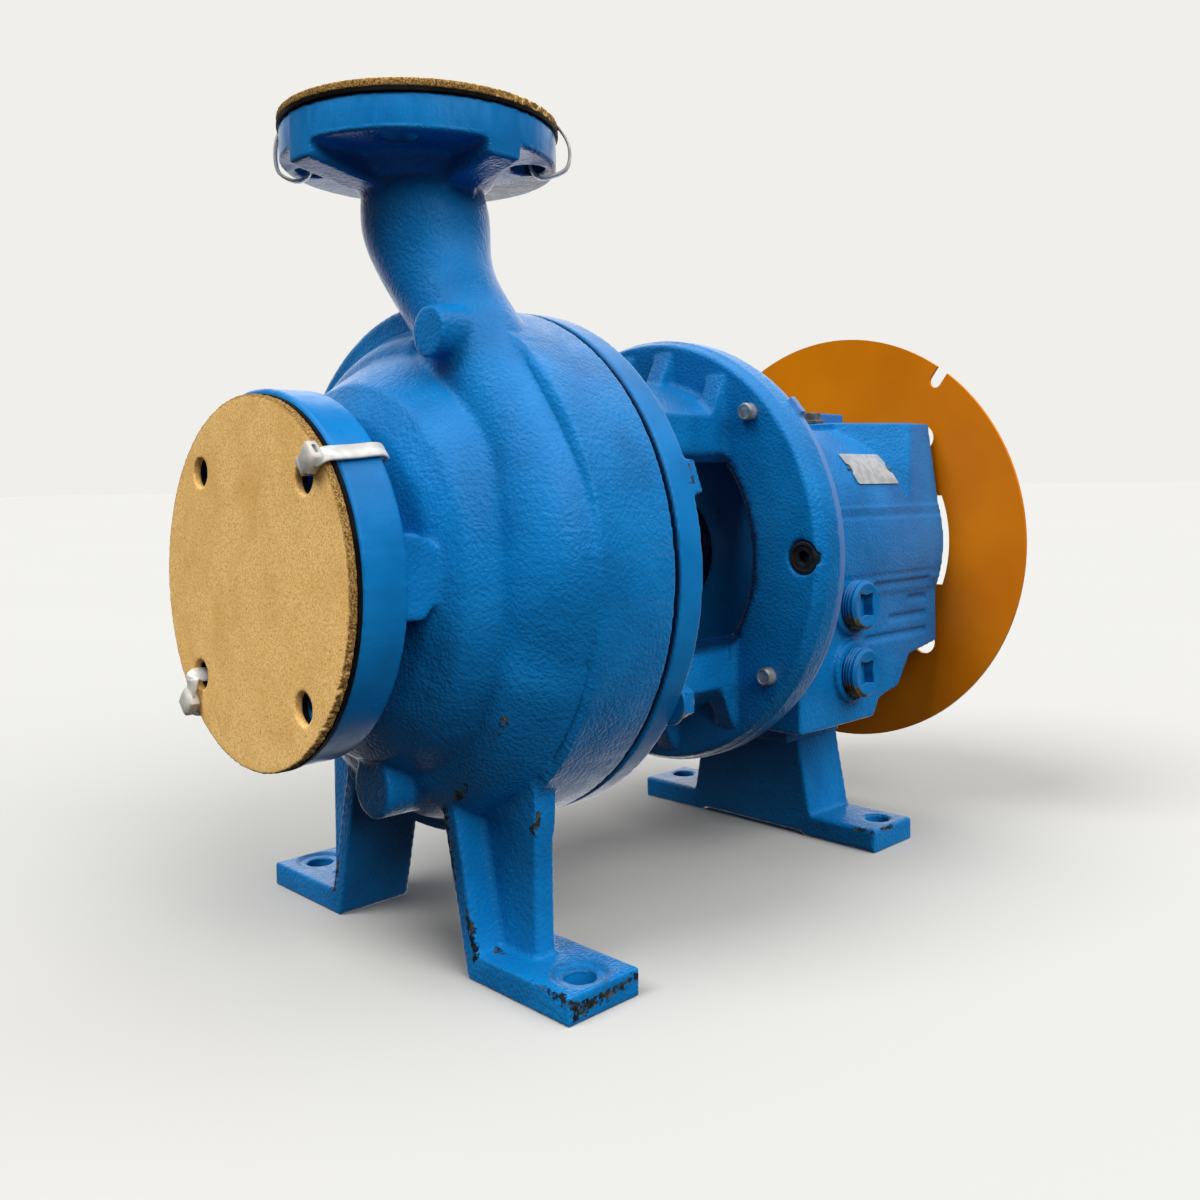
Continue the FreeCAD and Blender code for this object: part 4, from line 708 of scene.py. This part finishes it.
def make_suction_tie(name, hole_angle, front_angle, back_angle, head_angle):
    """A broad tie through a flange hole and over the rim, its lock on the face of the cover."""
    front, back = SUCTION_Y - COVER_STACK, SUCTION_BACK
    side = Vector((-math.sin(math.radians(hole_angle)), 0, math.cos(math.radians(hole_angle))))
    outward = Vector((math.cos(math.radians(hole_angle)), 0, math.sin(math.radians(hole_angle))))
    middle = 0.5 * (front_angle + back_angle)
    head = polar(91.8, head_angle, front - 3.4)
    path = [head, polar(94.0, front_angle, front - 2.4), polar(97.4, front_angle, front + 1.2),
            polar(97.2, middle, front + 16), polar(97.2, back_angle, back - 2),
            polar(95.0, back_angle, back + 2.4), polar(88.5, 0.5 * (back_angle + hole_angle), back + 2.8),
            polar(82.0, hole_angle, back + 1.0), polar(79.5, hole_angle, back - 6),
            polar(79.0, hole_angle, SUCTION_Y + 4), polar(79.5, hole_angle - 1.0, front - 1),
            polar(83.0, 0.5 * (head_angle + hole_angle), front - 3.4), head]
    lock = tie_head(head, outward, side, (11.5, 12.0, 6.5))
    show(name, *join(strap(path, side, 8.8, 1.5), lock), nylon, sharp=50)


def make_discharge_tie(name, degrees, standing):
    """A narrow tie through a flange hole, standing a little off the rim, its lock on top of the cover."""
    angle = math.radians(degrees)
    outward, side = Vector((math.cos(angle), math.sin(angle), 0)), Vector((-math.sin(angle), math.cos(angle), 0))
    top, low = DISCHARGE_Z + COVER_STACK, DISCHARGE_Z - 19
    path = [(60, top + 1), (66, top + 2.6), (73, top + 1.8), (78.5, top - 2.5), (78 + 0.75 * standing, top - 11),
            (77 + standing, top - 20), (75.5 + 0.8 * standing, low - 0.5), (72, low - 4.2), (66.5, low - 4.0),
            (62.5, low), (60.5, low + 9), (60, top + 1)]
    loop = strap([outward * radius + Z * height for radius, height in path], side, 4.6, 1.8)
    lock = tie_head(outward * 58 + Z * (top + 2.6), outward, side, (6.5, 6.0, 4.6))
    show(name, *join(loop, lock), nylon, sharp=50)


# Plugs, bolts and plates

def make_port_plug(node, z, sign):
    """A taper threaded plug with a square socket. Three or four turns of its thread stay outside the boss."""
    pitch = 2.2
    placement = facing((sign * 97.2, 284, z), (sign, 0, 0))

    def thread(height):
        """The radius of one ring of the thread by angle."""
        return lambda angle: 15.7 + 0.12 * height / pitch + abs(2 * ((height / pitch + angle / math.tau) % 1) - 1)

    def socket(scale):
        """A broached square whose sides bow inward."""
        return lambda angle: (scale * 7.2 / max(abs(math.cos(angle)), abs(math.sin(angle)))
                              * (1 - 0.07 * math.cos(4 * angle)))

    rings = [(0, 12)] + [(0.22 * step, thread(0.22 * step)) for step in range(30)]
    # A short neck, the plug's eased head, and the socket down into it
    rings += [(6.9, 15.9), (7.3, 16.6), (8.6, 16.6), (10.3, 14.6), (10.3, 12.2), (9.9, 11.4), (9.9, socket(1.08)),
              (9.4, socket(1.0)), (2.4, socket(1.0)), (2.2, 1.0)]
    piece = show(node + "_threaded", *turned(rings, placement, 72), plug_finish, "black_iron", 40)
    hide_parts(node)


def make_adapter_plug(node, sign):
    """A flush black screw plug with a hexagon socket."""
    placement = facing((sign * 128.8, 180.3, SHAFT_Z), (0, -1, 0))
    rings = [(-5.5, 9.9), (-0.6, 9.9), (0.0, 9.2), (0.0, 7.8), (-0.9, 7.4), (-0.9, hexagon(8.2)),
             (-1.3, hexagon(7.8)), (-5.0, hexagon(7.8)), (-5.0, 0.5)]
    piece = show(node + "_socketed", *turned(rings, placement, 48), black_iron, "black_iron", 40)
    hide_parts(node)


def hex_bolt(placement, across, height, shank, length):
    """A hexagon head with its chamfer, on a shank that reaches back into the casting."""
    shape = hexagon(across)
    crown = 0.47 * across
    rings = [(-length, shank), (0, shank), (0, 0.46 * across), (0.4, shape), (0.86 * height, shape),
             (height, lambda angle: min(crown, shape(angle))), (height, 0.5)]
    return turned(rings, placement, 48)


def hex_nut(placement, across, height, stud, proud):
    """A nut with the threaded end of its stud standing out of it."""
    shape = hexagon(across)
    crown = 0.48 * across
    rings = [(0, lambda angle: min(crown, shape(angle))), (0.12 * height, shape), (0.88 * height, shape),
             (height, lambda angle: min(crown, shape(angle))), (height, stud + 0.6), (height - 0.6, stud)]
    rings += [(height + 0.5 * step, stud - 0.35 * (step % 3)) for step in range(int(proud / 0.5))]
    rings += [(height + proud, stud - 0.4), (height + proud + 0.6, stud - 1.4), (height + proud + 0.6, 0.3)]
    return turned(rings, placement, 36)


def make_fasteners():
    """Bolts of the adapter, nuts of the gland, and the screws of the guard."""
    bolts, ends, nuts, screws = [], [], [], []
    for degrees in (-31, 211):
        seat = facing(polar(140, degrees, 69.3), Y)
        bolts += [washer(seat, 0, 1.9, 6.6, 12.4), washer(seat, 1.9, 4.6, 6.6, 10.8)]
        bolts.append(hex_bolt(facing(polar(140, degrees, 73.9), Y), 19, 7.6, 6.2, 8))
    show("adapter_hex_bolts", *join(*bolts), bolt_finish, sharp=30)
    for degrees in (44.6, -35.6, 135.4, 215.6):
        rings = [(-3, 5.6), (5.2, 5.6), (6.2, 4.7), (6.2, 3.9), (5.9, 3.7), (5.9, 0.4)]
        ends.append(turned(rings, facing(polar(127, degrees, 180), -Y), 32))
    show("adapter_bolt_ends", *join(*ends), zinc, sharp=30)
    for degrees in (45, 135, 225, 315):
        nuts.append(hex_nut(facing(polar(40, degrees, 117.0), Y), 16, 9, 5.0, 8))
    show("gland_nuts", *join(*nuts), zinc, sharp=30)
    for degrees in (0, 90, 180, 270):
        seat = facing(polar(72, degrees, 409.2), Y)
        screws += [washer(seat, 0, 1.5, 5, 9.2), hex_bolt(facing(polar(72, degrees, 410.7), Y), 13, 5.3, 4.2, 2)]
    show("guard_screws", *join(*screws), zinc, sharp=30)


def make_nameplate():
    """A bare aluminium plate bent to the barrel, with a notch and a drive pin at the middle of each short edge."""
    columns, rows = 40, 24
    points = []
    for lift in (0.35, 1.0):
        for row in range(rows + 1):
            v = row / rows
            notch = 2.6 * math.sqrt(max(0.0, 1 - ((v - 0.5) * 6) ** 2))
            corner = 10 * max(0.0, abs(v - 0.5) * 2 - 0.9)
            start, end = 294.8 + 4.9 * v + notch + corner, 344.6 + 7.0 * v - notch - corner
            for column in range(columns + 1):
                points.append(polar(100.1 + lift, 40.0 - 14.4 * v, start + (end - start) * column / columns))
    across = columns + 1
    layer = across * (rows + 1)
    faces = []
    for row in range(rows):
        for column in range(columns):
            first = row * across + column
            faces.append((first, first + across, first + across + 1, first + 1))
            faces.append(tuple(index + layer for index in (first + 1, first + across + 1, first + across, first)))
    rim = list(range(across)) + [row * across + columns for row in range(1, rows + 1)]
    rim += [rows * across + column for column in range(columns - 1, -1, -1)]
    rim += [row * across for row in range(rows - 1, 0, -1)]
    for first, after in zip(rim, rim[1:] + rim[:1]):
        faces.append((first, after, after + layer, first + layer))
    show("name_plate", points, faces, aluminium, sharp=40)
    pins = []
    for y in (296.9, 348.4):
        seat = polar(99.8, 32.8, y)
        rings = [(0, 1.7), (0.9, 1.7), (1.5, 1.3), (1.8, 0.7), (1.9, 0.1)]
        pins.append(turned(rings, facing(seat, seat - Vector((0, y, SHAFT_Z))), 20))
    show("name_plate_pins", *join(*pins), dull_steel, sharp=40)


def make_filler_cap():
    """The oil filler plug: a collar, a knurled cap and a hexagon recess."""

    def knurl(angle):
        """The radius of the gripping rim by angle."""
        return 9.0 - 0.18 * (1 + math.cos(18 * angle))

    rings = [(-11, 6.6), (0.5, 6.6), (0.5, 11.6), (0.9, 12.0), (2.9, 12.0), (3.5, 11.3), (3.5, knurl), (8.3, knurl),
             (9.3, 7.9), (9.3, hexagon(8.4)), (5.5, hexagon(8.0)), (5.5, 0.5)]
    seat = facing((24, 334.5, SHAFT_Z + 88.5), Z)
    piece = show("oil_filler_cap", *turned(rings, seat, 72), dull_steel, "black_iron")
    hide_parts("oil_filler_plug")


# Stage, camera and lights

def make_stage():
    """A pale floor that runs to the horizon."""
    mesh = bpy.data.meshes.new("floor")
    mesh.from_pydata([(-90, -90, 0), (90, -90, 0), (90, 90, 0), (-90, 90, 0)], [], [(0, 1, 2, 3)])
    mesh.materials.append(paper)
    floor = bpy.data.objects.new("floor", mesh)
    bpy.context.scene.collection.objects.link(floor)
    # The paper takes shadows, and its bounce is left to the world, as in a cut-out studio picture
    floor.visible_diffuse = False
    floor.visible_glossy = False


def make_camera():
    """The photograph's own viewpoint. The image is taken as 1200 x 1200."""
    turn, rise, roll = 0.78745, 0.021835, -0.012224
    back = Vector((math.sin(turn) * math.cos(rise), -math.cos(turn) * math.cos(rise), math.sin(rise)))
    right = Z.cross(back).normalized()
    up = back.cross(right)
    level = math.cos(roll) * right + math.sin(roll) * up
    upright = math.cos(roll) * up - math.sin(roll) * right
    data = bpy.data.cameras.new("viewpoint")
    data.sensor_width = 36.0
    data.lens = 33.7807
    data.shift_x = -0.0165
    data.shift_y = -0.0750
    data.clip_start = 0.01
    data.clip_end = 200
    camera = bpy.data.objects.new("viewpoint", data)
    bpy.context.scene.collection.objects.link(camera)
    placement = Matrix((level, upright, back)).transposed().to_4x4()
    placement.translation = Vector((0.528913, -0.371858, 0.254193))
    camera.matrix_world = placement
    bpy.context.scene.camera = camera


def make_lights():
    """Broad soft lights from the right, from the suction side and from above the coupling end."""
    for name, strength, spread, toward in (("side_light", 2.6, 45, (-0.80, 0.10, -0.60)),
                                           ("front_light", 2.4, 34, (0.12, 0.62, -0.78)),
                                           ("ceiling_light", 0.7, 50, (-0.30, -0.45, -0.85))):
        data = bpy.data.lights.new(name, "SUN")
        data.energy = strength
        data.angle = math.radians(spread)
        light = bpy.data.objects.new(name, data)
        bpy.context.scene.collection.objects.link(light)
        # The lamps stand behind wide diffusers, so they leave no bright spots in the gloss
        light.visible_glossy = False
        light.rotation_mode = "QUATERNION"
        light.rotation_quaternion = Vector(toward).to_track_quat("-Z", "Y")
    world = bpy.data.worlds.new("studio")
    bpy.context.scene.world = world
    world.use_nodes = True
    tree = world.node_tree
    # Bright overhead and dark toward the floor, and the paper's own tone where the camera sees past the floor
    toward = add(tree, "ShaderNodeTexCoord", {}, "Generated")
    height = add(tree, "ShaderNodeSeparateXYZ", {0: toward}, 2)
    height = add(tree, "ShaderNodeMath", {"operation": "POWER", "use_clamp": True, 0: height, 1: 3.0})
    strength = add(tree, "ShaderNodeMapRange", {0: height, 3: 0.04, 4: 1.1})
    # The gloss mirrors the pale backdrop, which stands on the far side of the pump only
    camera_looks = (-0.708, 0.706, 0.0)
    behind = add(tree, "ShaderNodeVectorMath", {"operation": "DOT_PRODUCT", 0: toward, 1: camera_looks}, 1)
    backdrop = add(tree, "ShaderNodeMapRange", {0: behind, 1: 0.45, 2: 0.92, 4: 1.5})
    mirrored = add(tree, "ShaderNodeLightPath", {}, "Is Glossy Ray")
    strength = add(tree, "ShaderNodeMath", {"operation": "MULTIPLY_ADD", 0: backdrop, 1: mirrored, 2: strength})
    around = add(tree, "ShaderNodeBackground", {"Color": tint("F4F6FA"), "Strength": strength})
    seen = add(tree, "ShaderNodeBackground", {"Color": tint("F0EFEB"), "Strength": 1.0})
    camera_ray = add(tree, "ShaderNodeLightPath", {}, "Is Camera Ray")
    mix = add(tree, "ShaderNodeMixShader", {0: camera_ray, 1: around, 2: seen})
    tree.links.new(mix, tree.nodes["World Output"].inputs["Surface"])
    bpy.context.scene.view_settings.view_transform = "Standard"


# Build the scene

make_camera()
make_stage()
make_lights()
make_casing()
make_frame_adapter()
make_bearing_frame()
make_frame_foot()
make_cover("suction_cover", (1.5, SHAFT_Z - 1.9), 1, 94.3, -40)
make_cover("discharge_cover", (0, 0), 2, 77.5, 20)
make_suction_tie("suction_tie_upper", 44, 38.5, 40.5, 40.0)
make_suction_tie("suction_tie_lower", 224, 229, 230, 228)
make_discharge_tie("discharge_tie_left", 225, 4)
make_discharge_tie("discharge_tie_right", 45, 7)
make_port_plug("upper_right_plug", SHAFT_Z - 38.5, 1)
make_port_plug("lower_right_plug", SHAFT_Z - 84.5, 1)
make_port_plug("lower_left_plug", SHAFT_Z - 84.5, -1)
make_adapter_plug("adapter_plug_right", 1)
make_adapter_plug("adapter_plug_left", -1)
make_fasteners()
make_nameplate()
make_filler_cap()

# The other imported nodes keep their form and take their finish; the seal chamber and the inboard oil seal take
# painted shade, nearly black
FINISHES = {
    "suction_gasket": rubber, "discharge_gasket": rubber, "seal_chamber": painted_shade_iron, "seal_gland": steel,
    "shaft_sleeve": steel, "pump_shaft": steel, "sight_glass_bezel": brass, "sight_glass_pane": sight_pane,
    "inboard_oil_seal": painted_shade_iron, "outboard_oil_seal": bronze, "bearing_housing": fitting_enamel,
    "guard_plate": guard_enamel,
}
for node_name, finish in FINISHES.items():
    node_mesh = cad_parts[node_name].data
    node_mesh.materials.clear()
    node_mesh.materials.append(finish)
